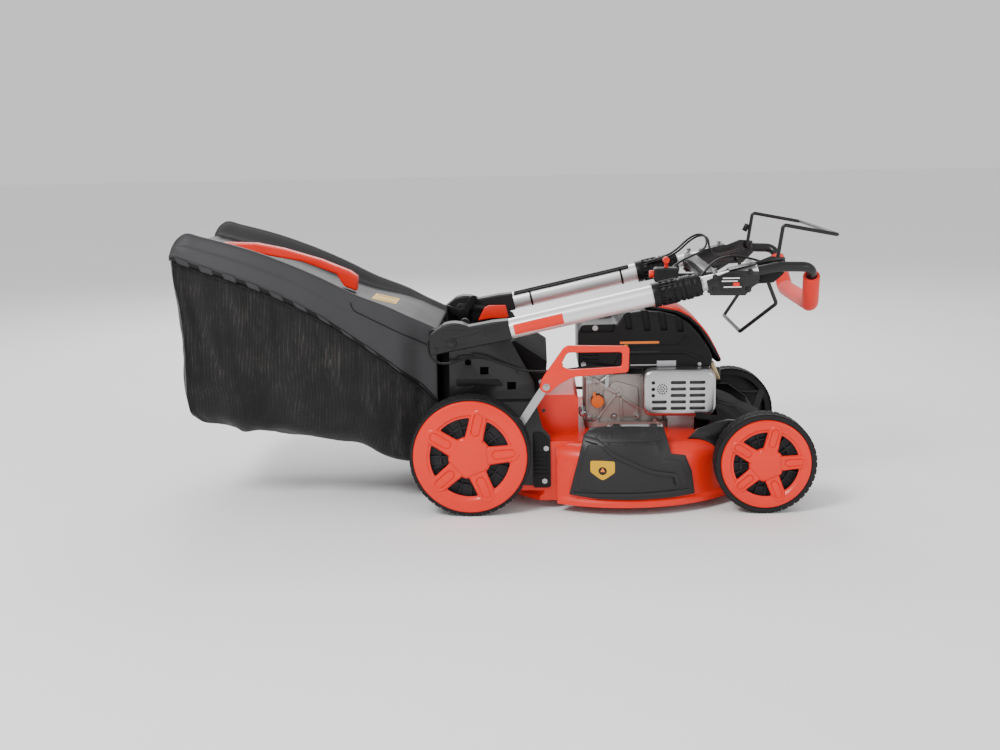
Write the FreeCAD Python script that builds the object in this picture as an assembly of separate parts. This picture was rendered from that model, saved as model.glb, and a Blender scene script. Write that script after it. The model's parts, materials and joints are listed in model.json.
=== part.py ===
"""Petrol lawn mower with a folded two-piece handle and a rear grass bag, as separate solids.

Frame: +X forward, +Y to the mower's left, +Z up, ground at z = 0, millimetres. The pieces are
drawn with x = 0 at the rear axle; at the end the whole model is moved along X so that the
origin is under the middle of its overall box.
"""
import FreeCAD, Part
import math
import os

# ---- wheels and running gear ----
REAR_R = 127.0          # rear wheel radius
FRONT_R = 105.0         # front wheel radius
REAR_CAP_R = 119.0      # red wheel cover radius, rear
FRONT_CAP_R = 93.0      # red wheel cover radius, front
WHEEL_W = 41.0          # tyre width
AXLE_R = 8.0
CRANK_LEN = 55.0        # height crank, pivot to axle
CRANK_REST = 150.0      # crank angle at the lowest cut, degrees from +X towards +Z
HEIGHT_TURN = 50.0      # how far the cranks turn from the lowest cut to the highest
PIVOT_R = 9.0           # radius of the cross tube that each crank turns on
ARM_LEN = 80.0          # link arm length
ARM_REST = 72.0         # link arm angle at the lowest cut

# ---- clearances ----
RUN = 0.05              # radial gap of a shaft in its hole
GAP = 1.0               # side gap between turning plates
STEEL = 3.0             # frame plate thickness
CRANK_T = 5.0           # crank plate thickness

# ---- body ----
BODY_Y = 228.0          # half width across the deck's straight rear sides
DECK_RIM = 293.0        # radius of the deck's flared rim
FLARE = 6.0             # how far the rim stands out of the wall
DECK_T = 2.5            # sheet thickness
DECK_TOP = 149.0        # height of the engine's seat
DECK_LOW = 18.0         # height of the rim above ground at the lowest cut
DECK_BACK = 72.0        # x of the deck's rear wall
DECK_CLEAR = 31.5       # rear wheel to deck rim
NOSE_CLEAR = 9.0        # deck rim to front wheel
TUNNEL_Y = 150.0        # half width of the grass tunnel
TUNNEL_TOP = 230.0
TUNNEL_FRONT = 229.0    # x of the tunnel's front face
TUNNEL_FLOOR = 137.0    # height of the tunnel's rear mouth above ground
SHAFT_R = 12.5          # crankshaft radius
BLADE_GAP = 6.0         # blade tip to the deck's rear wall

# ---- handle ----
FOLD_X = -35.0          # fold hinge
FOLD_Z = 362.0
TUBE_R = 21.0           # outer handle tube
TUBE_WALL = 2.0
TUBE_Y = 223.0          # distance of the handle tubes from the centre plane
TUBE_ANGLE = 12.4       # slope of the folded handle, degrees
TUBE_START = 125.0      # fold hinge to the tube's visible start, along the tube
TUBE_LEN = 370.0        # visible start to the tube's far end
COLLAR_START = 302.0
COLLAR_LEN = 100.0
INNER_R = 15.0          # telescoping tube
INNER_START = 190.0
INNER_END = 521.0
BAR_R = 10.5            # handlebar tube
FOAM_R = 17.5           # foam grip
WIRE_R = 4.0            # bail wire

TIP_DRAWN = (595.9, 498.7)      # where the tube's end stands in the drawn bracket outlines
DRIVE_DRAWN = (640.0, 511.0)    # upper bail's pivot, as drawn
BRAKE_DRAWN = (618.0, 485.0)    # lower bail's pivot, as drawn
KNOB_SHANK = 4.0                # radius of the fold hinge's bolt
LOCK_PIVOT = (62.0, 360.0)

# ---- grass chute, side door and engine places ----
CHUTE_BACK = -62.0
DOOR_PIN = (149.0, 262.0)       # rear door's hinge pin
HINGE_Y = -236.0                # side door's hinge rod
HINGE_Z = 178.0
HINGE_R = 3.0
SHROUD_Y = 118.0                # half width of the engine shroud
GUARD_OUT = 163.0               # outer face of the muffler guard from the centre plane
GUARD_LOW = 182.0
ROPE_BACK = 66.0                # starter cord behind the crankshaft
ROPE_Y = 88.0

# ---- bag ----
BAG_FRONT = -71.0
BAG_LEN = 548.5
BAG_WALL = 3.0
BAG_SIDE = 208.0        # half width of the fabric
RAIL_SIDE = 215.0       # half width of the cover at its lower edge
RIDGE_SIDE = 190.0      # half width at the cover's ridges
MOUTH_GAP = 15.0        # from the side brackets to the bag's mouth, for the fold knobs

# ---- worked out from the above ----
CRANK_IN = BODY_Y + STEEL + GAP
CRANK_OUT = CRANK_IN + CRANK_T
WHEEL_IN = CRANK_OUT + 2 * GAP
WHEEL_OUT = WHEEL_IN + WHEEL_W
DECK_WALL = DECK_RIM - FLARE
RIM_CHORD = math.sqrt(DECK_RIM ** 2 - WHEEL_IN ** 2)
DECK_X = REAR_R + DECK_CLEAR + RIM_CHORD
WHEELBASE = DECK_X + RIM_CHORD + NOSE_CLEAR + FRONT_R
BLADE_R = DECK_X - DECK_BACK - DECK_T - BLADE_GAP
SLOPE = math.radians(TUBE_ANGLE)
GUARD_IN = -SHROUD_Y - GAP
GUARD_FRONT = DECK_X + 195
ROPE_X = DECK_X - ROPE_BACK
PLATE_IN = TUBE_Y - 21.5        # inner face of the upper bracket's plate
BRACKET_Y = TUBE_Y - TUBE_R - 2 * GAP - STEEL      # inner face of the upper side bracket
MOUTH_SIDE = BRACKET_Y - MOUTH_GAP                 # half width of the bag's mouth
LEVER_Y = TUBE_Y + TUBE_R + 3 * GAP                # inner face of the height lever's hand loop

NODES = {}


def vec(x, y, z):
    return FreeCAD.Vector(x, y, z)


def polar(centre, length, degrees):
    """Point in the XZ plane at a distance and an angle from +X towards +Z."""
    turn = math.radians(degrees)
    return (centre[0] + length * math.cos(turn), centre[1] + length * math.sin(turn))


REAR_AXLE = (0.0, REAR_R)
FRONT_AXLE = (WHEELBASE, FRONT_R)
REAR_PIVOT = polar(REAR_AXLE, -CRANK_LEN, CRANK_REST)
FRONT_PIVOT = polar(FRONT_AXLE, -CRANK_LEN, CRANK_REST)


# ---- shape helpers ----
def outline(points, place):
    """Closed wire through 2-D points; an entry of two points is an arc by way of the first."""
    edges = []
    first = here = place(points[0])
    for item in points[1:]:
        if isinstance(item[0], tuple):
            end = place(item[1])
            edges.append(Part.Arc(here, place(item[0]), end).toShape())
        else:
            end = place(item)
            edges.append(Part.LineSegment(here, end).toShape())
        here = end
    edges.append(Part.LineSegment(here, first).toShape())
    return Part.Wire(edges)


def slab(points, y0, y1):
    """Outline in the XZ plane, as thick as y0 to y1."""
    face = Part.Face(outline(points, lambda p: vec(p[0], y0, p[1])))
    return face.extrude(vec(0, y1 - y0, 0))


def turned(points, x):
    """(radius, z) outline turned about the vertical line through x on the centre plane."""
    face = Part.Face(outline(points, lambda p: vec(x + p[0], 0, p[1])))
    return face.revolve(vec(x, 0, 0), vec(0, 0, 1), 360)


def wheel_turned(points, centre):
    """(radius, y) outline turned about the axle line through centre."""
    face = Part.Face(outline(points, lambda p: vec(centre[0], p[1], centre[1] + p[0])))
    return face.revolve(vec(centre[0], 0, centre[1]), vec(0, 1, 0), 360)


def box(x0, x1, y0, y1, z0, z1):
    return Part.makeBox(x1 - x0, y1 - y0, z1 - z0, vec(x0, y0, z0))


def rod(p, q, radius):
    return Part.makeCylinder(radius, (q - p).Length, p, q - p)


def cross_rod(centre, y0, y1, radius):
    """Round bar along Y through an XZ point."""
    return rod(vec(centre[0], y0, centre[1]), vec(centre[0], y1, centre[1]), radius)


def arm(p, q, half, y0, y1):
    """Flat bar with round ends between two XZ points."""
    run = math.hypot(q[0] - p[0], q[1] - p[1])
    nx = -(q[1] - p[1]) / run * half
    nz = (q[0] - p[0]) / run * half
    bar = slab([(p[0] + nx, p[1] + nz), (q[0] + nx, q[1] + nz),
                (q[0] - nx, q[1] - nz), (p[0] - nx, p[1] - nz)], y0, y1)
    return bar.multiFuse([cross_rod(p, y0, y1, half), cross_rod(q, y0, y1, half)]).removeSplitter()


def mirrored(shape):
    return shape.mirror(vec(0, 0, 0), vec(0, 1, 0))


def both(shape):
    """The piece and its mirror image, as two solids."""
    return Part.makeCompound([shape, mirrored(shape)])


def bent_path(points, bend=None):
    """Straight runs with tangent arcs; with no bend given each arc takes 0.45 of its shorter run."""
    edges = []
    radii = []
    start = points[0]
    for before, corner, after in zip(points, points[1:], points[2:]):
        back = (before - corner).normalize()
        ahead = (after - corner).normalize()
        half = back.getAngle(ahead) / 2
        cut = 0.45 * min((before - corner).Length, (after - corner).Length)
        if bend:
            cut = bend / math.tan(half)
        radius = cut * math.tan(half)
        centre = corner + (back + ahead).normalize() * (radius / math.sin(half))
        middle = centre + (corner - centre).normalize() * radius
        edges.append(Part.LineSegment(start, corner + back * cut).toShape())
        edges.append(Part.Arc(corner + back * cut, middle, corner + ahead * cut).toShape())
        start = corner + ahead * cut
        radii.append(round(radius, 1))
    edges.append(Part.LineSegment(start, points[-1]).toShape())
    return Part.Wire(edges), radii


def bent_rod(points, radius, bend=None, label=""):
    """Round wire, tube or cable along a bent path."""
    path, radii = bent_path(points, bend)
    section = Part.Wire(Part.makeCircle(radius, points[0], points[1] - points[0]))
    solid = path.makePipeShell([section], True, False)
    if label:
        ratio = solid.Volume / (math.pi * radius ** 2 * path.Length)
        print(label, "length", round(path.Length), "radii", radii, "volume ratio", round(ratio, 4))
    return solid


def on_tube(along, up=0.0):
    """XZ point at a distance along the handle tube from its visible start, and above its axis."""
    x = FOLD_X + TUBE_START * math.cos(SLOPE)
    z = FOLD_Z + TUBE_START * math.sin(SLOPE) - 2.0
    return (x + along * math.cos(SLOPE) - up * math.sin(SLOPE),
            z + along * math.sin(SLOPE) + up * math.cos(SLOPE))


def tube_rod(a, b, radius, side=1):
    """Round bar on a handle tube's axis."""
    p = on_tube(a)
    q = on_tube(b)
    return rod(vec(p[0], side * TUBE_Y, p[1]), vec(q[0], side * TUBE_Y, q[1]), radius)


# ---- wheels ----
def wheel(centre, radius, cap_r):
    """Black wheel with its moulded tread, left side."""
    rim = radius - 18
    seat = WHEEL_OUT - 6
    profile = [(AXLE_R + RUN, WHEEL_IN), (20, WHEEL_IN), (20, WHEEL_IN + 16), (rim, WHEEL_IN + 16),
               (rim, WHEEL_IN + 2), (radius - 4, WHEEL_IN + 2), (radius, WHEEL_IN + 7),
               (radius, WHEEL_OUT - 7), (radius - 3, WHEEL_OUT - 1), (cap_r + 0.4, WHEEL_OUT),
               (cap_r + 0.4, seat), (rim, seat), (rim, WHEEL_IN + 23), (20, WHEEL_IN + 23),
               (20, seat + 3), (AXLE_R + RUN, seat + 3)]
    return wheel_turned(profile, centre)


def wheel_cap(centre, cap_r, hub_r, slot_in, slot_out, phase):
    """Red five-spoke wheel cover, left side."""
    seat = WHEEL_OUT - 6
    face = WHEEL_OUT + 2
    disc = wheel_turned([(0, face - 3), (cap_r - 5, face - 3), (cap_r - 5, seat), (cap_r, seat),
                         (cap_r, face), (cap_r - 3, face + 3), (slot_out + 6, face + 3),
                         (slot_out + 2, face), (0, face)], centre)
    slots = wheel_turned([(slot_in, seat), (slot_out, seat), (slot_out, face + 6),
                          (slot_in, face + 6)], centre)
    spokes = []
    for i in range(5):
        turn = phase + 72 * i
        root = polar(centre, hub_r * 0.5, turn)
        tip = polar(centre, slot_out + 8, turn)
        spokes.append(arm(root, tip, slot_in * 0.38, face - 3, face + 3))
    hub = [polar(centre, hub_r, phase + 36 + 72 * i) for i in range(5)]
    spokes.append(slab(hub, face - 3, face + 5))
    return disc.cut(slots).multiFuse(spokes).removeSplitter()


def make_wheels():
    for place, centre, radius, cap_r, hub_r, slot_in, slot_out, phase in (
            ("rear", REAR_AXLE, REAR_R, REAR_CAP_R, 43, 45, 84, -6),
            ("front", FRONT_AXLE, FRONT_R, FRONT_CAP_R, 34, 36, 68, 4)):
        black = wheel(centre, radius, cap_r)
        red = wheel_cap(centre, cap_r, hub_r, slot_in, slot_out, phase)
        NODES["wheel_" + place + "_left"] = black
        NODES["wheel_" + place + "_right"] = mirrored(black)
        NODES["wheel_cover_" + place + "_left"] = red
        NODES["wheel_cover_" + place + "_right"] = mirrored(red)


# ---- height adjustment ----
LEVER_BOLT = (REAR_PIVOT[0] + 112.4, REAR_PIVOT[1] + 169.5)
ARM_IN = BODY_Y - 14
PIN_Y = BODY_Y - 5


def cranks(pivot, axle):
    """Cross tube with a crank at each end."""
    parts = [cross_rod(pivot, -CRANK_OUT, CRANK_OUT, PIVOT_R)]
    for side in (-1, 1):
        low, high = sorted((side * CRANK_IN, side * CRANK_OUT))
        parts.append(arm(pivot, axle, 14, low, high))
    return parts


def link_arm(pivot):
    return arm(pivot, polar(pivot, ARM_LEN, ARM_REST), 8, ARM_IN, ARM_IN + 5)


def make_height_gear():
    rear = cranks(REAR_PIVOT, REAR_AXLE)
    rear.append(link_arm(REAR_PIVOT))
    rear.append(arm(REAR_PIVOT, LEVER_BOLT, 8.5, -CRANK_OUT, -CRANK_IN))
    rear_crank = rear[0].multiFuse(rear[1:])
    rear_crank = rear_crank.cut(cross_rod(REAR_AXLE, -CRANK_OUT - 1, CRANK_OUT + 1, AXLE_R + 0.02))
    pin = polar(REAR_PIVOT, ARM_LEN, ARM_REST)
    NODES["rear_crank"] = rear_crank.cut(cross_rod(pin, ARM_IN - 1, ARM_IN + 6, 4 + RUN))
    NODES["rear_axle"] = cross_rod(REAR_AXLE, -WHEEL_OUT + 3.5, WHEEL_OUT - 3.5, AXLE_R)

    front = cranks(FRONT_PIVOT, FRONT_AXLE)
    front.append(link_arm(FRONT_PIVOT))
    for side in (-1, 1):
        front.append(cross_rod(FRONT_AXLE, side * CRANK_IN, side * (WHEEL_OUT - 3.5), AXLE_R))
    front_pin = polar(FRONT_PIVOT, ARM_LEN, ARM_REST)
    front_crank = front[0].multiFuse(front[1:])
    NODES["front_crank"] = front_crank.cut(cross_rod(front_pin, ARM_IN - 1, ARM_IN + 6, 4.4))

    a = vec(pin[0], PIN_Y, pin[1])
    b = vec(front_pin[0], PIN_Y, front_pin[1])
    pins = [cross_rod(p, ARM_IN - 1, PIN_Y, 4) for p in (pin, front_pin)]
    NODES["height_link_rod"] = rod(a, b, 4).multiFuse(pins).removeSplitter()

    # gearbox that drives the rear axle
    x, z = REAR_AXLE
    gearbox = box(x - 32, x + 34, -45, 45, z - 35, z + 11)
    gearbox = gearbox.makeFillet(5, gearbox.Edges)
    gearbox = gearbox.fuse(cross_rod(REAR_AXLE, -60, 60, 15))
    gearbox = gearbox.cut(cross_rod(REAR_AXLE, -61, 61, AXLE_R))
    NODES["gearbox"] = gearbox.cut(cross_rod(REAR_PIVOT, -61, 61, PIVOT_R + 0.5))


def make_height_lever():
    """Red hand loop bolted to the end of the rear crank's strap."""
    x, z = LEVER_BOLT

    def at(points):
        return [(x + dx, z + dz) for dx, dz in points]

    stem = at([(-14, -7), (-9, 17), (24, 3), (4, -16)])
    loop = at([(-9, 17), (40, 86), (172, 83), (170, 28), (55, 20), (24, 3)])
    hole = at([(44, 71), (157, 71), (156, 39), (46, 33), (28, 43)])
    body = slab(loop, -LEVER_Y - 11, -LEVER_Y).cut(slab(hole, -LEVER_Y - 12, -LEVER_Y + 1))
    root = slab(stem, -LEVER_Y - 11, -CRANK_OUT)
    bolt = cross_rod(LEVER_BOLT, -LEVER_Y - 14, -CRANK_OUT, 6)
    NODES["height_lever_handle"] = body.fuse(root).cut(bolt)
    NODES["rear_crank"] = NODES["rear_crank"].fuse(bolt)


# ---- deck and frame ----
def deck_pan():
    """The round pan of the deck, as a filled solid."""
    wall = DECK_WALL
    return turned([(0, DECK_TOP), (152, DECK_TOP), (wall - 37, DECK_TOP - 5),
                   ((wall - 11, DECK_TOP - 15), (wall, DECK_TOP - 41)), (wall, DECK_LOW + 16),
                   (DECK_RIM, DECK_LOW + 9), (DECK_RIM, DECK_LOW), (0, DECK_LOW)], DECK_X)


def deck_solids():
    """Outer and inner solids of the pressed deck."""
    wall = DECK_WALL
    t = DECK_T
    hollow = turned([(0, DECK_TOP - t), (152, DECK_TOP - t), (wall - 37, DECK_TOP - 5 - t),
                     ((wall - 13, DECK_TOP - 17), (wall - t, DECK_TOP - 41)),
                     (wall - t, DECK_LOW + 15), (DECK_RIM - t, DECK_LOW + 8),
                     (DECK_RIM - t, DECK_LOW - 1), (0, DECK_LOW - 1)], DECK_X)
    back = DECK_BACK
    body = slab([(back, 40), (back, DECK_TOP - 3), (DECK_X, DECK_TOP - 3), (DECK_X, 40)],
                -BODY_Y, BODY_Y)
    inside = slab([(back + t, 39), (back + t, DECK_TOP - 3 - t), (DECK_X, DECK_TOP - 3 - t),
                   (DECK_X, 39)], -BODY_Y + t, BODY_Y - t)
    seat = DECK_TOP - 6
    tunnel = slab([(back, seat), (back, TUNNEL_TOP), (TUNNEL_FRONT - 8, TUNNEL_TOP),
                   (TUNNEL_FRONT, TUNNEL_TOP - 8), (TUNNEL_FRONT, seat)], -TUNNEL_Y, TUNNEL_Y)
    throat = slab([(back - 1, TUNNEL_FLOOR), (back - 1, TUNNEL_TOP - t),
                   (TUNNEL_FRONT - 8 - t, TUNNEL_TOP - t), (TUNNEL_FRONT - t, TUNNEL_TOP - 8 - t),
                   (TUNNEL_FRONT - t, seat - 9), (back + t, seat - 9), (back + t, TUNNEL_FLOOR)],
                  -TUNNEL_Y + t, TUNNEL_Y - t)
    behind = box(DECK_X - DECK_RIM - 5, back, -DECK_RIM, DECK_RIM, 0, DECK_TOP)
    corner = slab([(back, 0), (back, 160), (DECK_X - RIM_CHORD + 22, 160),
                   (DECK_X - RIM_CHORD + 22, 0)], BODY_Y, DECK_RIM)
    pan = deck_pan().cut(behind).cut(corner).cut(mirrored(corner))
    outer = pan.multiFuse([body, tunnel])
    rear_skin = box(back - 1, back + t, -DECK_RIM, DECK_RIM, 0, DECK_TOP)
    side_skin = box(back, DECK_X - RIM_CHORD + 22, BODY_Y - t, DECK_RIM, 0, DECK_TOP)
    hollow = hollow.cut(rear_skin).cut(side_skin).cut(mirrored(side_skin))
    return outer, hollow.multiFuse([inside, throat])


def make_deck():
    outer, inner = deck_solids()
    shell = outer.cut(inner)
    opening = box(DECK_X - 88, DECK_X + 112, -DECK_RIM, -180, 38, 118)
    shell = shell.cut(opening)
    shell = shell.cut(rod(vec(DECK_X, 0, 100), vec(DECK_X, 0, 160), SHAFT_R + 6))
    NODES["deck_shell"] = shell.removeSplitter()


def axle_slot():
    """Curved slot in the side frame that the rear axle moves along."""
    half = AXLE_R + 2
    margin = math.degrees(half / CRANK_LEN) + 1
    start = CRANK_REST - margin
    end = CRANK_REST + HEIGHT_TURN + margin
    middle = (start + end) / 2

    def ring(length):
        return [polar(REAR_PIVOT, length, turn) for turn in (start, middle, end)]

    far = ring(CRANK_LEN + half)
    near = ring(CRANK_LEN - half)
    return slab([far[0], (far[1], far[2]), near[2], (near[1], near[0])], 0, DECK_RIM)


def make_side_frames():
    """Steel plates that carry the rear pivot, and above them the fold hinge brackets."""
    deck_edge = DECK_X - RIM_CHORD
    step = TUNNEL_TOP + 3
    low = slab([(-45, 60), (deck_edge + 9, 49), (deck_edge + 9, 158), (deck_edge - 8, 178),
                (138, step), (-45, step)], BODY_Y, BODY_Y + STEEL)
    shelf = box(-45, 138, BRACKET_Y, BODY_Y + STEEL, step - STEEL, step)
    high = slab([(-45, step - STEEL), (138, step - STEEL), (134, 270), (84, 362), (66, 372),
                 (FOLD_X + 8, FOLD_Z + 23), ((FOLD_X - 24, FOLD_Z), (FOLD_X - 8, FOLD_Z - 23))],
                BRACKET_Y, BRACKET_Y + STEEL)
    plate = low.multiFuse([shelf, high])
    plate = plate.cut(cross_rod(REAR_PIVOT, 0, DECK_RIM, PIVOT_R + RUN))
    plate = plate.cut(axle_slot())
    plate = plate.cut(cross_rod((FOLD_X, FOLD_Z), 0, DECK_RIM, KNOB_SHANK + RUN))
    plate = plate.cut(cross_rod((-4, 312), 0, DECK_RIM, 7))
    for x, z in ((30, 294), (87, 261)):
        plate = plate.cut(box(x - 9, x + 9, 0, BODY_Y - 1, z - 8, z + 8))
    left = plate.cut(cross_rod(LOCK_PIVOT, 0, DECK_RIM, 3 + RUN))
    NODES["side_frames"] = Part.makeCompound([left, mirrored(plate)])


def make_front_brackets(deck):
    """Black steel arms that carry the front pivot tube beside the nose cover."""
    x, z = FRONT_PIVOT
    nose = DECK_X + DECK_RIM
    points = [(DECK_X + 128, 144), (DECK_X + 150, 166), (DECK_X + 182, 177), (nose - 79, 183),
              (nose - 20, 181), (x - 12, 148), (x + 17, 100), (x + 17, z - 14), (x - 20, z - 24),
              (nose - 60, 46), (nose - 100, 60), (nose - 125, 130)]
    y = BODY_Y - 19
    plate = slab(points, y, y + STEEL)
    top = slab([(DECK_X + 165, 169), (DECK_X + 182, 177), (nose - 79, 183), (nose - 20, 181),
                (x - 12, 148), (x - 14, 146), (nose - 21, 178), (nose - 79, 180),
                (DECK_X + 182, 174), (DECK_X + 165, 166)], y - 11, y + STEEL)
    plate = plate.fuse(top).cut(deck)
    plate = plate.cut(cross_rod(FRONT_PIVOT, 0, DECK_RIM, PIVOT_R + RUN))
    NODES["front_brackets"] = both(plate)


def make_nose_cover(deck):
    """Domed plastic cover over the deck's nose and the front pivot tube."""
    r = DECK_WALL
    outer = [(r - 80, 149), (r - 70, 194), (r - 24, 184), (r + 7, 161), (r + 36, 151),
             (r + 62, 122), (r + 66, 92)]
    inner = [(r + 63, 92), (r + 59, 121), (r + 34.5, 148), (r + 6, 158), (r - 25, 181),
             (r - 67.5, 190.5), (r - 77, 149)]
    shell = turned(outer + inner, DECK_X)
    keep = box(DECK_X + 150, DECK_X + r + 80, -BODY_Y + 31, BODY_Y - 31, 90, 200)
    lip = box(DECK_X + 150, FRONT_PIVOT[0] + 40, -BODY_Y, BODY_Y, 60, FRONT_PIVOT[1] + 13)
    beside_guard = box(DECK_X, GUARD_FRONT + 4, -GUARD_OUT - 6, -SHROUD_Y + 12,
                       GUARD_LOW - 4, 300)
    shell = shell.common(keep).cut(lip).cut(deck).cut(beside_guard)
    NODES["nose_cover"] = shell.cut(cross_rod(FRONT_PIVOT, -BODY_Y, BODY_Y, PIVOT_R + 4))


def make_chute():
    """Plastic grass chute from the deck tunnel to the bag mouth."""
    y = TUNNEL_Y + 1
    side = slab([(CHUTE_BACK, 175), (DECK_BACK - 1, 137), (DECK_BACK - 1, 150), (130, 150),
                 (DOOR_PIN[0] - 4, TUNNEL_TOP + 2), (DOOR_PIN[0] - 4, DOOR_PIN[1] + 6),
                 (DOOR_PIN[0], 300), (92, 343), (24, 331), (CHUTE_BACK, 331)], y, y + 3)
    side = side.fuse(cross_rod((DOOR_PIN[0] - 9, DOOR_PIN[1] + 2), y, y + 3, 8))
    side = side.fuse(cross_rod(DOOR_PIN, y, y + 3, 7))
    side = side.cut(cross_rod(DOOR_PIN, y - 1, y + 4, 3))
    floor = slab([(CHUTE_BACK, 175), (DECK_BACK - 1, 138), (DECK_BACK - 1, 135), (CHUTE_BACK, 172)],
                 -y - 3, y + 3)
    front = box(DOOR_PIN[0] - 12, DOOR_PIN[0] - 9, -y - 3, y + 3, TUNNEL_TOP + 0.5, DOOR_PIN[1] - 8)
    NODES["discharge_chute"] = floor.multiFuse([side, mirrored(side), front]).removeSplitter()


def make_rear_door():
    """Hinged flap over the chute, with side flanges, lying shut."""
    y = TUNNEL_Y + 8
    skin = [(27, 338), (95, 351), (163, 305), (DOOR_PIN[0] + 9, DOOR_PIN[1] + 8)]
    under = [(DOOR_PIN[0] + 6, DOOR_PIN[1] + 8), (160, 303.5), (94.5, 348), (27, 335)]
    plate = slab(skin + under, -y, y)
    flange = slab([(27, 338), (95, 351), (163, 305), (DOOR_PIN[0] + 9, DOOR_PIN[1] - 6),
                   (DOOR_PIN[0] - 9, DOOR_PIN[1] - 4)], y, y + 3)
    flange = flange.cut(cross_rod(DOOR_PIN, y - 1, y + 4, 3 + RUN))
    NODES["rear_door"] = plate.multiFuse([flange, mirrored(flange)]).removeSplitter()
    pin = cross_rod(DOOR_PIN, TUNNEL_Y + 1, y + 4, 3).fuse(cross_rod(DOOR_PIN, y + 4, y + 6, 5))
    return [pin, mirrored(pin)]


# ---- side discharge door ----
def make_side_door(deck):
    wall = DECK_WALL
    low = DECK_LOW + 17
    ring = turned([(-HINGE_Y + 6, HINGE_Z + 4), (wall - 22, HINGE_Z - 4), (wall - 4, HINGE_Z - 28),
                   (wall + 4, 110), (DECK_RIM, low), (DECK_RIM - 3, low), (wall + 1, 110),
                   (wall - 6.5, HINGE_Z - 29), (wall - 24, HINGE_Z - 7.5), (-HINGE_Y + 6, HINGE_Z)],
                  DECK_X)
    x = DECK_X
    shape = slab([(x - 70, HINGE_Z + 6), (x - 92, 165), (x - 102, 124), (x - 123, 41),
                  (x - 65, low + 1), (x + 14, low), (x + 94, low + 1), (x + 140, 38), (x + 133, 88),
                  (x + 119, 122), (x + 89, 128), (x + 74, HINGE_Z + 6)], -DECK_RIM - 5, HINGE_Y - 5)
    door = ring.common(shape)
    stand_x = (x - 40, x + 70)
    for start in stand_x:
        door = door.cut(rod(vec(start - 1.5, HINGE_Y, HINGE_Z), vec(start + 4.5, HINGE_Y, HINGE_Z), 9))
    parts = []
    for start in (x - 30, x + 48):
        eye = rod(vec(start, HINGE_Y, HINGE_Z), vec(start + 14, HINGE_Y, HINGE_Z), 6)
        leaf = box(start, start + 14, HINGE_Y - 12, HINGE_Y, HINGE_Z - 1, HINGE_Z + 4)
        parts.append(eye.fuse(leaf))
    door = door.multiFuse(parts)
    hole = rod(vec(x - 60, HINGE_Y, HINGE_Z), vec(x + 90, HINGE_Y, HINGE_Z), HINGE_R + RUN)
    clear = rod(vec(x - 14, HINGE_Y, HINGE_Z), vec(x + 46, HINGE_Y, HINGE_Z), 9)
    NODES["side_door"] = door.cut(hole).cut(clear)

    bar = rod(vec(x - 42, HINGE_Y, HINGE_Z), vec(x + 74, HINGE_Y, HINGE_Z), HINGE_R)
    stands = []
    for start in stand_x:
        foot = box(start, start + 3, HINGE_Y - 5, -BODY_Y, DECK_TOP - 12, HINGE_Z + 5)
        stands.append(foot.cut(deck))
    coil = rod(vec(x - 12, HINGE_Y, HINGE_Z), vec(x + 44, HINGE_Y, HINGE_Z), 6)
    coil = coil.cut(rod(vec(x - 13, HINGE_Y, HINGE_Z), vec(x + 45, HINGE_Y, HINGE_Z), HINGE_R + 0.5))
    return [bar.multiFuse(stands), coil]


def make_bolts():
    """Hexagon bolts of the side frames and of the engine's base."""
    heads = []
    edge = DECK_X - RIM_CHORD
    for side in (-1, 1):
        for x, z in ((edge, 133), (edge - 4, 62)):
            face = side * (BODY_Y + STEEL)
            heads.append(hex_bolt(vec(x, face, z), vec(0, side, 0), 6))
    for x in (-60, 70):
        for y in (-121, 121):
            heads.append(hex_bolt(vec(DECK_X + x, y, DECK_TOP + 14), vec(0, 0, 1), 7))
    return heads


def hex_bolt(seat, direction, radius):
    """Hexagon head with a washer, on a seat point."""
    washer = Part.makeCylinder(radius * 1.25, 1.5, seat, direction)
    ring = []
    side = direction.cross(vec(1, 0, 0))
    across = side.cross(direction)
    for i in range(7):
        turn = math.radians(60 * i)
        ring.append(seat + direction * 1.5 + side * (radius * math.cos(turn))
                    + across * (radius * math.sin(turn)))
    head = Part.Face(Part.makePolygon(ring)).extrude(direction * (radius * 0.7))
    return washer.fuse(head)


# ---- engine ----
def make_crankcase():
    x = DECK_X
    flange = box(x - 84, x + 98, -131, 131, DECK_TOP, DECK_TOP + 14)
    flange = flange.makeFillet(30, [e for e in flange.Edges if abs(e.BoundBox.ZLength) > 13])
    case = box(x - 82, x + 90, -106, 106, DECK_TOP + 14, 265)
    case = case.makeFillet(8, [e for e in case.Edges if abs(e.BoundBox.ZLength) > 90])
    upright = [(x - 54, DECK_TOP + 13), (x - 6, 244), (x - 2, 240), (x - 6, DECK_TOP + 13)]
    ribs = [slab(upright, -111, -105), arm((x - 80, 262), (x + 30, 190), 4, -111, -105)]
    neck = rod(vec(x - 56, -104, 208), vec(x - 56, -114, 208), 11)
    body = flange.multiFuse([case, neck] + ribs)
    bore = rod(vec(x, 0, DECK_TOP - 1), vec(x, 0, 270), SHAFT_R + RUN)
    NODES["crankcase"] = body.cut(bore)
    cap = rod(vec(x - 56, -114.3, 208), vec(x - 56, -124, 208), 13)
    tab = box(x - 66, x - 60, -123, -116, 216, 228)
    NODES["oil_cap"] = cap.fuse(tab)


def make_cylinder():
    """Finned barrel and head, lying towards the front."""
    x = DECK_X
    parts = [box(x + 90, x + 190, -42, 42, 196, 256)]
    for i in range(10):
        start = x + 96 + 9.5 * i
        parts.append(box(start, start + 3, -56, 56, 188, 264))
    parts.append(box(x + 188, x + 200, -52, 52, 196, 262))
    NODES["cylinder"] = parts[0].multiFuse(parts[1:])
    boot = rod(vec(x + 200, 0, 230), vec(x + 226, 0, 230), 9)
    boot = boot.fuse(rod(vec(x + 218, 0, 230), vec(x + 218, 0, 258), 8))
    NODES["spark_plug_boot"] = boot


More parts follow.
